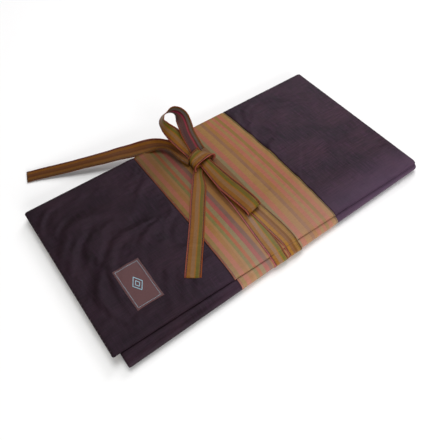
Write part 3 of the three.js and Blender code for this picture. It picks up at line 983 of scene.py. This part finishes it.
def add_ribbon(name, line, directions, material, width=FULL_WIDTH, cup=0.0, start=0.0,
               hemmed_end=False):
    """Ribbon swept along a line: the hemmed section carried across and out at every step.

    width may be one number or one for each step; cup bends the section up at its edges by that
    many millimetres; a hemmed end is folded over and thicker for its last stretch, and its
    ribbon lies the other way round.
    """
    width = np.broadcast_to(width, len(line)).astype(float)
    cup = np.broadcast_to(cup, len(line)).astype(float)
    _, wide, out = ribbon_frame(line, directions)
    run = run_along(line)
    offset, face, across = ribbon_section().T
    fat = np.ones(len(line))
    if hemmed_end:
        across = np.where(across > 1.5 * RIBBON_WIDTH, 5 * RIBBON_WIDTH - across, RIBBON_WIDTH - across)
        left = run[-1] - run
        fat = (1 + 0.55 * (1 - smooth_step(left, HEM_END, HEM_END + 0.8))) * edge_round(left, 0.6)
    sideways = offset * (width / RIBBON_WIDTH)[:, None]
    outwards = face * fat[:, None] + cup[:, None] * (offset / (RIBBON_WIDTH / 2)) ** 2
    points = line[:, None] + wide[:, None] * sideways[..., None] + out[:, None] * outwards[..., None]
    across = np.broadcast_to(across, points.shape[:2])
    along = np.broadcast_to((run + start)[:, None], points.shape[:2])
    points, across, along = closed_ends(points, across, along)
    return add_grid(name, points, material, across, along, around=True)


def closed_ends(points, across, along):
    """Adds a flat cap at both ends: a last ring drawn together onto the section's middle line."""
    caps = [(ring + ring[::-1])[None] / 2 for ring in (points[0], points[-1])]
    points = np.concatenate([caps[0], points, caps[1]])
    across, along = (np.concatenate([grid[:1], grid, grid[-1:]]) for grid in (across, along))
    return points, across, along


def hem_rows(name, line, directions, material, width=FULL_WIDTH, cup=0.0, under=False):
    """Rows of hem stitches along both edges of a ribbon, on its face."""
    run = run_along(line)
    spots = np.arange(1.2, run[-1] - 1.0, STITCH_PITCH)
    middle = picked(spots, run, line)
    forward, wide, out = (unit(picked(spots, run, way)) for way in ribbon_frame(line, directions))
    half = np.interp(spots, run, np.broadcast_to(width, len(line))) / 2
    cup = np.interp(spots, run, np.broadcast_to(cup, len(line)))
    face = -1 if under else 1
    rows = []
    for side in (-1, 1):
        reach = (half - HEM_INSET) * side
        height = face * (RIBBON / 2 - 0.08 + cup * (reach / half) ** 2)
        rows.append(middle + wide * reach[:, None] + out * height[:, None])
    forward, out = np.vstack([forward, forward]), np.vstack([out, out]) * face
    return add_stitches(name, np.vstack(rows), forward, out, *STITCH_SIZE, material)


# ---- Routes of the bow: the tails' as in the model, the loops' shaped to their silk -------------

# Twelve points of the upper loop are what a separate helper script printed, not chosen by hand.
UPPER_LOOP = [
    (197, 156, 5.5), (197.5, 163.5, 8), (193.7, 179.6, 14), (190, 194.6, 20), (186.3, 204.2, 26),
    (186, 211.1, 30), (191.9, 213.9, 34.5), (199.4, 210, 38), (203.7, 202.6, 39), (205.2, 195.9, 37),
    (204.3, 188.7, 32), (202.6, 180.7, 25), (203.1, 171.1, 16), (203.5, 162, 8.5),
]
UPPER_ACROSS = [  # the loop leans, turns its edge forwards at its bend and lies over again
    *[(0.93, 0, 0.37)] * 5, (0.8, -0.3, 0.5), (0.5, -0.55, 0.65), (0.1, -0.7, 0.7),
    (-0.05, -0.7, 0.7), (0.1, -0.7, 0.7), (0.45, -0.6, 0.6), (0.8, -0.35, 0.4), (0.96, -0.1, 0.25),
    *[(0.98, 0, 0.2)] * 4,
]
LOWER_LOOP = [
    (206, 148, 4), (204.5, 138, 2.4), (203.8, 118, 2.4), (204, 92, 2.4), (204.5, 66, 2.6),
    (204.4, 57.5, 3.6), (204.2, 54.8, 6.2), (204, 57.5, 8.8), (203.3, 66, 9.8), (201.3, 85, 10),
    (199.8, 100, 9.6), (199.5, 120, 9.1), (200, 138, 8.4), (200.5, 150, 7.5),
]
LOWER_ACROSS = [
    (1, 0, 0), (1, 0, 0), (1, 0, 0), (0.97, 0.12, 0.1), (0.92, 0.2, 0.33), (0.94, 0.1, 0.33),
    (0.95, 0, 0.3), (1, 0, 0.2),
]
FRONT_TAIL = [
    (192, 145, 3.5), (184.8, 135, 2.2), (177, 122, 1.8), (162, 102, 0.9), (148, 82.5, 0.8),
    (126.5, 54, 0.8), (104.4, 25, 1.2),
]
FRONT_ACROSS = [(-0.8, 0.6, 0), (-0.8, 0.6, 0)]
# Most of the left tail's points are rounded or shifted from what a separate helper script printed.
LEFT_TAIL = [
    (193, 156, 3.5), (187, 172, 4.6), (184, 188, 4.6), (179.5, 198, 4.2), (170.5, 207, 3),
    (155.5, 214, 1.8), (142, 219, 0.9), (130.5, 224, 0.2), (116.5, 229, -1), (102, 235.5, -2.8),
    (87.5, 242.5, -5), (73.5, 249, -7.2), (57, 257, -9.6), (40, 265, -11.6), (25, 270.5, -12.6),
]
LEFT_ACROSS = [
    (0.9, 0.4, 0), (0.4, 0.85, 0.25), (0, 0.86, 0.5), (0, 0.97, 0.2), (0, 1, 0), (0, 1, 0), (0, 1, 0),
]


def on_case(points):
    """Smooth line through a route whose heights are given above the cover's top."""
    return curve_through([(x, y, TOP + height) for x, y, height in points], STEP)


KNOT_LOW, KNOT_HIGH = low("tie_knot"), high("tie_knot")
KNOT_MIDDLE = (KNOT_LOW + KNOT_HIGH) / 2
KNOT_TURN = 0.28
KNOT_POWER = 0.78
CLEAR_OF_LEAF = 1.0  # a height over the open back leaf, passed with the left tail's pieces


def bow_piece(piece, *nodes, above=0.0, keep=0.05):
    """A piece of the bow rides on the cover and hides the model's nodes it stands for. above is not used."""
    if nodes:
        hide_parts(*nodes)
    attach(piece, "cover")
    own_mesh(piece)
    return piece


def outside_knot(line):
    """The part of a route that lies outside the knot's block."""
    cos, sin = math.cos(KNOT_TURN), math.sin(KNOT_TURN)
    offset = line - KNOT_MIDDLE
    long = np.abs(offset[:, 0] * cos + offset[:, 1] * sin)
    deep = np.abs(offset[:, 1] * cos - offset[:, 0] * sin)
    return (long > 9) | (deep > 6.5)


def trimmed(line, across):
    """A route and its width directions without what the knot hides."""
    keep = outside_knot(line)
    part = slice(np.argmax(keep), len(keep) - np.argmax(keep[::-1]))
    return line[part], spread_directions(across, len(line))[part]


def add_bow(materials):
    """Knot, two loops and two tails."""
    face, other, thread = materials["ribbon"], materials["ribbon_other"], materials["burgundy_thread"]
    line, across = trimmed(on_case(UPPER_LOOP), UPPER_ACROSS)
    upper = bow_piece(add_ribbon("bow_loop_upper", line, across, face), "tie_loop_upper")
    upper_rows = bow_piece(hem_rows("bow_loop_upper_stitches", line, across, thread))
    under_rows = bow_piece(hem_rows("bow_loop_upper_under_stitches", line, across, thread, under=True))

    line, across = trimmed(on_case(LOWER_LOOP), LOWER_ACROSS)
    far = np.abs(line[:, 1] - line[:, 1].max()) / 90
    width = 14 + 5.5 * smooth_step(far, 0, 0.6)
    lower = bow_piece(add_ribbon("bow_loop_lower", line, across, face, width=width), "tie_loop_lower")
    lower_rows = bow_piece(hem_rows("bow_loop_lower_stitches", line, across, thread, width=width))
    knot = bow_piece(add_knot(face), "tie_knot")

    line = on_case(FRONT_TAIL)
    line[:, 2] = np.maximum(line[:, 2], cover_top(line[:, 0], line[:, 1]) + 0.75)
    line, across = trimmed(line, FRONT_ACROSS)
    width = 10.5 + (FULL_WIDTH - 10.5) * smooth_step(np.linspace(0, 1, len(line)), 0, 0.22)
    front = add_ribbon("bow_tail_front", line, across, face, width=width, hemmed_end=True)
    rows = hem_rows("bow_tail_front_stitches", line, across, thread, width=width)
    bow_piece(front, "tie_tail_front")
    bow_piece(rows)

    line, across = trimmed(on_case(LEFT_TAIL), LEFT_ACROSS)
    run = np.linspace(0, 1, len(line))
    cup = 5 * smooth_step(run, 0.02, 0.14) * (1 - smooth_step(run, 0.18, 0.45))
    width = FULL_WIDTH - 5 * smooth_step(run, 0, 0.15) * (1 - smooth_step(run, 0.17, 0.32))
    left = add_ribbon("bow_tail_left", line, across, other, width=width, cup=cup, hemmed_end=True)
    rows = hem_rows("bow_tail_left_stitches", line, across, thread, width=width, cup=cup)
    bow_piece(left, "tie_tail_left", above=CLEAR_OF_LEAF, keep=0.02)
    bow_piece(rows, above=CLEAR_OF_LEAF, keep=0.02)


def add_knot(material):
    """The knot: the ribbon wrapped once round the bow, wide at the front and drawn in behind.

    Its section is a superellipse about the line of the tails; its half-width falls from front to
    back, three soft creases run round it, and both mouths turn in to a hollow.
    """
    angle = np.linspace(0, 2 * math.pi, 72, endpoint=False)
    lip = [(-0.5, 0.0), (-0.55, 0.45), (-0.78, 0.80), (-0.93, 0.93)]  # place along, share of the girth
    rows = [*lip, *[(place, 1.0) for place in np.linspace(-1, 1, 25)]]
    rows += [(-place, share) for place, share in reversed(lip)]
    place, girth = np.array(rows).T[..., None]
    cos, sin = np.cos(angle)[None], np.sin(angle)[None]
    side = (12.6 - 3.6 * place) * girth * np.sign(cos) * np.abs(cos) ** KNOT_POWER
    rise = (5.6 - 0.9 * place) * girth * np.sign(sin) * np.abs(sin) ** KNOT_POWER
    crease = 1 + 0.035 * np.sin(place * 9 + 2.2 * cos) + 0.03 * np.sin(place * 17 + 5 * cos + 1)
    rib = 1 + 0.05 * np.exp(-((np.abs(place) - 0.9) / 0.07) ** 2)
    rib = rib - 0.04 * np.exp(-((np.abs(place) - 0.78) / 0.05) ** 2)
    side, rise = side * crease * rib, rise * crease * rib
    forward = place * 10.2 + 1.8 * cos * place
    turn_cos, turn_sin = math.cos(KNOT_TURN), math.sin(KNOT_TURN)
    points = KNOT_MIDDLE + np.stack([side * turn_cos - forward * turn_sin,
                                     side * turn_sin + forward * turn_cos, rise + 0.6], -1)
    across = np.broadcast_to((np.clip(place, -1, 1) + 1) / 2 * RIBBON_WIDTH, side.shape)
    along = np.broadcast_to(angle[None] / (2 * math.pi) * 60, side.shape)
    return add_grid("bow_knot", points, material, across, along, around=True, flip=True)


# ---- The tie's two passes round the case --------------------------------------------------------

PASS_PLACES = [0, 8, 28, 48, 76, 101, 131, 152, 165, 185, 205, 212]  # back from the front edge
PASS_ROUTES = {  # middle of each pass over the cover, its height on it and its width
    "a": ([190.8, 191.5, 193.6, 196.2, 199.4, 200.6, 203.2, 202, 199, 194.5, 191.5, 191], [0.45] * 12,
          [17.8, 17.8, 17.6, 17.6, 17.4, 17.2, 15.5, 13, 14.5, 16.6, 17, 17]),
    "b": ([210.2, 210.7, 210, 209.2, 207, 205.4, 204.2, 202.5, 204.5, 206.5, 207.6, 207.8],
          [0.7, 0.9, 1.25, 1.3, 1.3, 1.3, 1.3, 1.3, 1.3, 0.9, 0.5, 0.45],
          [17, 17.8, 19.2, 18.2, 16.8, 16, 14.5, 13, 14.5, 16.6, 17, 17]),
}


def eased(values_at, values, places):
    """Smooth curve through a few values: straight interpolation, then a short running mean."""
    dense = np.linspace(values_at[0], values_at[-1], 400)
    rough = np.interp(dense, values_at, values)
    window = np.hanning(41)
    padded = np.pad(rough, 20, mode="reflect", reflect_type="odd")
    return np.interp(places, dense, np.convolve(padded, window / window.sum(), mode="valid"))


def pass_over(name):
    """Middle lines of a pass: its lip, from the fold below up to the cover's front edge, and its
    run from there over the cover and down the back fold, with the run's widths."""
    xs, heights, widths = PASS_ROUTES[name]
    y = np.arange(0, FLAT_END, STEP)
    x = eased(PASS_PLACES, xs, y)
    z = cover_top(x, y) + eased(PASS_PLACES, heights, y) * smooth_step(y, -2, 4) + 0.15
    nose = fold_y(x[0]) - 0.95
    lip = [(nose, FRONT_MID + 0.4), (nose - 0.25, FRONT_MID + 2.2), (nose * 0.72, TOP - 4.6),
           (-1.5, TOP - 2.2), (y[0], z[0])]
    turn = np.linspace(0, math.pi / 2, 10)[1:]
    fold_z = TOP - BACK_ROUND + BACK_REACH * np.cos(turn)
    fold = bend_line(xs[-1], FLAT_END + BACK_REACH * np.sin(turn), fold_z)
    line = np.vstack([np.stack([x, y, z], -1), fold])
    width = np.concatenate([eased(PASS_PLACES, widths, y), np.full(len(fold), widths[-1])])
    return curve_through([(x[0], *spot) for spot in lip], 1.0), line, width


def bend_line(x, y, z):
    """Points at one x."""
    return np.stack([np.full(len(y), x), y, z], -1)


def pass_under(name, front_x):
    """Middle line of a pass from the back fold's middle down and along under the back leaf."""
    back_x = (low(f"tie_back_{name}")[0] + high(f"tie_back_{name}")[0]) / 2
    turn = np.linspace(0, math.pi / 2, 10)
    fold_z = BACK_ROUND - (BACK_ROUND - RIBBON / 2) * np.sin(turn)
    y = np.arange(FLAT_END - 2, fold_y(front_x) + LYING, -3.0)
    x = np.interp(y, [0, WIDTH], [front_x, back_x])
    lying = np.stack([x, y, np.full(len(y), RIBBON / 2 + 0.02)], -1)
    return np.vstack([bend_line(back_x, FLAT_END + BACK_REACH * np.cos(turn), fold_z), lying])


def pass_fronts(front_x, start):
    """Middle lines of a pass round the lower and the upper half of the front fold."""
    nose = fold_y(front_x)
    turn = np.linspace(math.pi / 2, 0, 9)
    reach_y, reach_z = FRONT_MID + RIBBON / 2 + 0.15, FRONT_MID - RIBBON / 2
    curve = bend_line(front_x, nose + FRONT_MID - reach_y * np.cos(turn), FRONT_MID - reach_z * np.sin(turn))
    front = np.vstack([start, curve])
    turn = np.linspace(0, math.pi / 2, 10)
    reach_y, reach_z = FLAP_NOSE + RIBBON / 2 + 0.15, FRONT_MID + RIBBON / 2 + 0.1
    step = bend_line(front_x, nose + FLAP_NOSE - reach_y * np.cos(turn), FRONT_MID + reach_z * np.sin(turn))
    return front, step


BACK_REACH = BACK_ROUND + RIBBON / 2 + 0.12  # a pass's middle line lies this far out at the back fold


def sewn_pass(name, line, cloth, nodes, thread=None, bend=None, start=0.0, width=FULL_WIDTH):
    """One stretch of a pass, with its hem stitches where they can be seen: a narrow sheet as long
    as its route. With a bend it is baked where it lies; without one it rides on the cover."""
    piece = add_ribbon(name, line, SIDEWAYS, cloth, width=width, start=start)
    pieces = [piece]
    if thread:
        pieces.append(hem_rows(f"{name}_stitches", line, SIDEWAYS, thread, width=width))
    for part in pieces:
        if bend:
            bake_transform(part)
        else:
            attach(part, "cover")
            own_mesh(part)
    if nodes:
        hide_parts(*nodes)


def add_passes(materials):
    """Each pass in five pieces that meet at the folds: lip, over, back and under, front and step."""
    thread = materials["burgundy_thread"]
    for name, cloth in (("a", materials["pass"]), ("b", materials["pass_other"])):
        front_x = PASS_ROUTES[name][0][0]
        lip, over, width = pass_over(name)
        under = pass_under(name, front_x)
        front, step = pass_fronts(front_x, [[*under[-1, :2], RIBBON / 2 + 0.02]])
        fold = fold_y(front_x)
        sewn_pass(f"tie_pass_{name}_lip", lip, cloth, [], thread, width=width[0])
        sewn_pass(f"tie_pass_{name}_over", over, cloth, [f"tie_over_{name}"],
                  thread, bend=("cover", "back_spine", TOP_BEND), width=width)
        sewn_pass(f"tie_pass_{name}_under", under, cloth,
                  [f"tie_under_{name}", f"tie_back_{name}"],
                  bend=("back_leaf", "back_spine", TABLE_BEND), start=230)
        sewn_pass(f"tie_pass_{name}_front", front, cloth, [f"tie_front_{name}"],
                  bend=("back_leaf", "front_spine", front_bend(fold, 0)), start=460)
        sewn_pass(f"tie_pass_{name}_step", step, cloth, [f"tie_step_{name}"],
                  thread, bend=("inner_flap", "front_spine", front_bend(fold, FLAP_TOP)), start=480)


# ---- Label, hand stitches and seams -------------------------------------------------------------

LABEL_LOW, LABEL_HIGH = low("label"), high("label")
LABEL_SIZE = (LABEL_HIGH - LABEL_LOW)[:2]
LABEL_BULGE = 0.25
LABEL_EDGE = 2.3  # border stitches in from the label's edge
LOZENGE = (5.4, 8.6)  # half sizes of the outer lozenge


def on_label(x, y, height):
    """Point on the label, which lies on the cover's face."""
    return np.stack([x, y, cover_top(x, y) + 0.12 + height], -1)


def label_stitches(name, corners, pitch, length, width, material):
    """Stitches round a closed line of corners laid on the label."""
    route = np.array([*corners, corners[0]], float)
    run = run_along(route)
    spots = np.arange(pitch / 2, run[-1], pitch)
    place = picked(spots, run, route)
    ahead = picked(spots + 0.3, run, route) - picked(spots - 0.3, run, route)
    share = (place - LABEL_LOW[:2]) / LABEL_SIZE
    bulge = LABEL_BULGE * np.sin(math.pi * share).prod(-1)
    centres = on_label(*place.T, bulge + 0.66)
    forward = np.column_stack([ahead, np.zeros(len(spots))])
    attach(add_stitches(name, centres, forward, straight_up(spots), length, width, material), "cover")


def add_label(materials):
    """Woven label: a thin cloth with rounded edges, a stitched border and a plain double lozenge."""
    shares = []
    for size in LABEL_SIZE:
        fine = np.array([0.25, 0.6, 1.1]) / size
        shares.append(np.unique(np.concatenate([np.linspace(0, 1, 25), fine, 1 - fine])))
    share_y, share_x = np.meshgrid(*shares[::-1], indexing="ij")
    x = LABEL_LOW[0] + LABEL_SIZE[0] * share_x + 0.8 * (share_y - 0.5) ** 2
    y = LABEL_LOW[1] + LABEL_SIZE[1] * share_y + 0.5 * np.sin(3 * share_x)
    full = edge_round(LABEL_SIZE[0] * np.minimum(share_x, 1 - share_x), 0.9)
    full = full * edge_round(LABEL_SIZE[1] * np.minimum(share_y, 1 - share_y), 0.9)
    bulge = LABEL_BULGE * np.sin(math.pi * share_x) * np.sin(math.pi * share_y)
    points = on_label(x, y, 0.5 * full + bulge + 0.15)
    label = add_grid("label_patch", points, materials["label"], x, y, thick=0.35)
    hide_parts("label")
    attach(label, "cover")

    (left, front), (right, back) = LABEL_LOW[:2] + LABEL_EDGE, LABEL_HIGH[:2] - LABEL_EDGE
    border = [(left, front), (right, front), (right, back), (left, back)]
    thread = materials["blue_thread"]
    label_stitches("label_border", border, 1.55, 1.2, 0.42, thread)
    middle = LABEL_LOW[:2] + LABEL_SIZE / 2
    for name, share in (("label_lozenge", 1.0), ("label_lozenge_inner", 0.45)):
        corners = [middle + np.array(way) * LOZENGE * share for way in ((0, -1), (1, 0), (0, 1), (-1, 0))]
        label_stitches(name, corners, 0.7, 1.2, 0.8, thread)


def add_hand_stitches(materials):
    """Slip stitches that close the cover's left end."""
    y = np.arange(6, WIDTH - 14, 5.0)
    jitter = np.random.default_rng(RNG_SEED).uniform(-0.6, 0.6, (2, len(y)))
    y = y + jitter[0]
    x = np.full(len(y), 0.9) + 0.15 * jitter[1]
    middle = TOP - COVER_THICK / 2
    z = middle + COVER_THICK / 2 * edge_round(x, END_ROLL) * edge_round(y, EDGE_ROLL) - 0.12
    centres = np.stack([x, y, z], -1)
    lean = np.column_stack([np.full(len(y), 0.5), 0.6 + 0.3 * jitter[1], np.full(len(y), 0.5)])
    out = np.tile([-0.5, 0, 0.8], (len(y), 1))
    piece = add_stitches("cover_end_stitches", centres, lean, out, 2.0, 0.5, materials["dark_thread"])
    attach(piece, "cover")


def add_seam_stitches(materials):
    """Rows of stitches beside the band's two seams, over the cover."""
    y = np.arange(1.5, FLAT_END - 1, 2.1)
    rows = (("left", left_seam, 1.5, "burgundy_thread"), ("right", right_seam, -1.2, "green_thread"))
    for name, seam, offset, thread in rows:
        x = seam(y) + offset
        centres = np.stack([x, y, cover_top(x, y) + 0.05], -1)
        forward = np.column_stack([seam(y + 0.5) - seam(y - 0.5), np.ones(len(y)), np.zeros(len(y))])
        piece = add_stitches(f"band_seam_stitches_{name}", centres, forward, straight_up(y), 1.5, 0.4,
                             materials[thread])
        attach(piece, "cover")


# ---- Pockets ------------------------------------------------------------------------------------

SEAM_NODES = sorted(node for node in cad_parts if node.startswith("pocket_seam_"))
ROWS = [(low(node)[1] + high(node)[1]) / 2 for node in SEAM_NODES]  # from the front one back
POCKET_EASE = 0.55  # the lower, the fuller the arch of each pocket
POCKET_LOW = LEAF_TOP + 0.7
POCKET_LEFT, POCKET_MOUTH = low("pocket_closed_end")[0], high("pocket_binding")[0]
POCKET_FRONT, POCKET_BACK = low(SEAM_NODES[0])[1], high(SEAM_NODES[-1])[1]


def pocket_height(y):
    """Height of the pocket cloth: down at every row of stitches, arched between two rows."""
    seat = np.clip(np.searchsorted(ROWS, y) - 1, 0, len(ROWS) - 2)
    start, end = np.take(ROWS, seat), np.take(ROWS, seat + 1)
    share = np.clip((y - start) / (end - start), 0, 1)
    room = high("pocket_panel")[2] - POCKET_LOW
    return POCKET_LOW + room * np.sin(math.pi * share) ** POCKET_EASE


def pocket_places(step):
    """Places from the pockets' front to their back, with one on every row of stitches."""
    places = [np.arange(POCKET_FRONT, POCKET_BACK, step), ROWS, [POCKET_BACK]]
    return np.unique(np.round(np.concatenate(places), 4))


def add_pocket_cloth(material):
    """One cloth sewn down in rows on the lining and closed at the left."""
    y = pocket_places(1.6)
    start = POCKET_LEFT + np.array([0, 0.8, 2, 3.5, 5.5, 8, 11])
    end = POCKET_MOUTH - 2
    x = np.concatenate([start, np.arange(POCKET_LEFT + 15, end, 4.0), [end]])
    grid_x, grid_y = np.meshgrid(x, y, indexing="ij")
    height = pocket_height(grid_y)
    open_share = edge_round(grid_x - POCKET_LEFT, 11)
    slack = 0.25 * np.sin(grid_x / 17 + grid_y / 5) * open_share * (height > LEAF_TOP + 2)
    z = POCKET_LOW + (height - POCKET_LOW) * open_share * 0.97 + slack
    points = np.stack([grid_x, grid_y, z], -1)
    cloth = add_grid("pocket_cloth", points, material, grid_x, grid_y, thick=0.5, flip=True)
    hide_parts("pocket_panel", "pocket_closed_end", *SEAM_NODES)
    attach(cloth, "back_leaf")


def add_pocket_binding(material):
    """Striped binding round the pockets' open mouth: a flat-sided oval swept along the arches."""
    y = pocket_places(0.9)[:, None]
    width = POCKET_MOUTH - low("pocket_binding")[0]
    angle = np.linspace(0, 2 * math.pi, 20, endpoint=False)[None]
    side = width / 2 * np.sign(np.cos(angle)) * np.abs(np.cos(angle)) ** 0.6
    height = pocket_height(y) + 0.62 * np.sin(angle) + 0.1
    points = np.stack(np.broadcast_arrays(POCKET_MOUTH - width / 2 + side, y, height), -1)
    across, along = np.broadcast_arrays((side + width / 2) * 3, y)
    points, across, along = closed_ends(points, across, along)
    binding = add_grid("pocket_mouth_binding", points, material, along * 0.66, across, around=True,
                       flip=True)
    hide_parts("pocket_binding")
    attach(binding, "back_leaf")


def add_pockets(materials):
    """The pockets: their cloth, its bound mouth and the rows of stitches between two pockets."""
    add_pocket_cloth(materials["pocket"])
    add_pocket_binding(materials["binding"])
    x, y = np.meshgrid(np.arange(POCKET_LEFT + 4, POCKET_MOUTH - 1, 3.6), ROWS)
    centres = np.column_stack([x.ravel(), y.ravel(), np.full(x.size, LEAF_TOP + 0.86)])
    forward = np.tile(SIDEWAYS, (len(centres), 1))
    stitches = add_stitches("pocket_stitches", centres, forward, straight_up(centres), 2.3, 0.5,
                            materials["burgundy_thread"])
    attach(stitches, "back_leaf")


# ---- Floor --------------------------------------------------------------------------------------


def add_floor():
    """Pale flat sheet that the case lies on."""
    share = np.linspace(0, 1, 40)
    run_x, run_y = np.meshgrid(np.linspace(-4000, 4400, 8), -4000 + 8400 * share, indexing="ij")
    points = np.stack([run_x, run_y, -0.3 + 0 * run_x], -1)
    floor = add_grid("floor", points, floor_finish(), run_x, run_y, flip=True)


# ---- Build --------------------------------------------------------------------------------------

add_camera()
add_lights()
MATERIALS = {
    "dark": dark_silk(),
    # the cover's band carries the painted sheen at the front and the painted shade at the back left
    "band": striped_silk("striped_silk", BAND_STRIPES, BAND_DEPTH, painted_light_and_shade=True),
    "band_below": striped_silk("band_silk_below", BAND_STRIPES, BAND_DEPTH),
    "pass": striped_silk("pass_silk", FACE_STRIPES, BAND_DEPTH, REVERSE_STRIPES),
    "pass_other": striped_silk("pass_silk_other_half", OTHER_STRIPES, BAND_DEPTH, REVERSE_STRIPES),
    # the bow's ribbon and its left tail carry painted shade through their darker depths
    "ribbon": striped_silk("ribbon_silk", FACE_STRIPES, RIBBON_SHADED_DEPTH, REVERSE_STRIPES, gloss=0.14),
    "ribbon_other": striped_silk("ribbon_silk_other_half", OTHER_STRIPES, TAIL_SHADED_DEPTH, REVERSE_STRIPES,
                                 gloss=0.12),
    "binding": striped_silk("binding_silk", BAND_STRIPES, BAND_DEPTH),
    "lining": plain_silk("lining_silk", "9a7434", "6f4c1e", (1.0, 0.9, 0.7, 1)),
    "pocket": plain_silk("pocket_silk", "7c3a42", "4c1f28", (1.0, 0.75, 0.75, 1)),
    "label": label_cloth(),
    "burgundy_thread": thread_finish("burgundy_thread", "641a2b", "2c0810"),
    "green_thread": thread_finish("green_thread", "545a20", "2a3010"),
    "blue_thread": thread_finish("blue_thread", "9fc3cf", "6f95a6"),
    "dark_thread": thread_finish("dark_thread", "4a3238", "120a0c"),
}
COVER_FIELD = relax_cover()
add_bow(MATERIALS)
add_leaves(MATERIALS)
add_passes(MATERIALS)
add_label(MATERIALS)
add_hand_stitches(MATERIALS)
add_seam_stitches(MATERIALS)
add_pockets(MATERIALS)
add_floor()
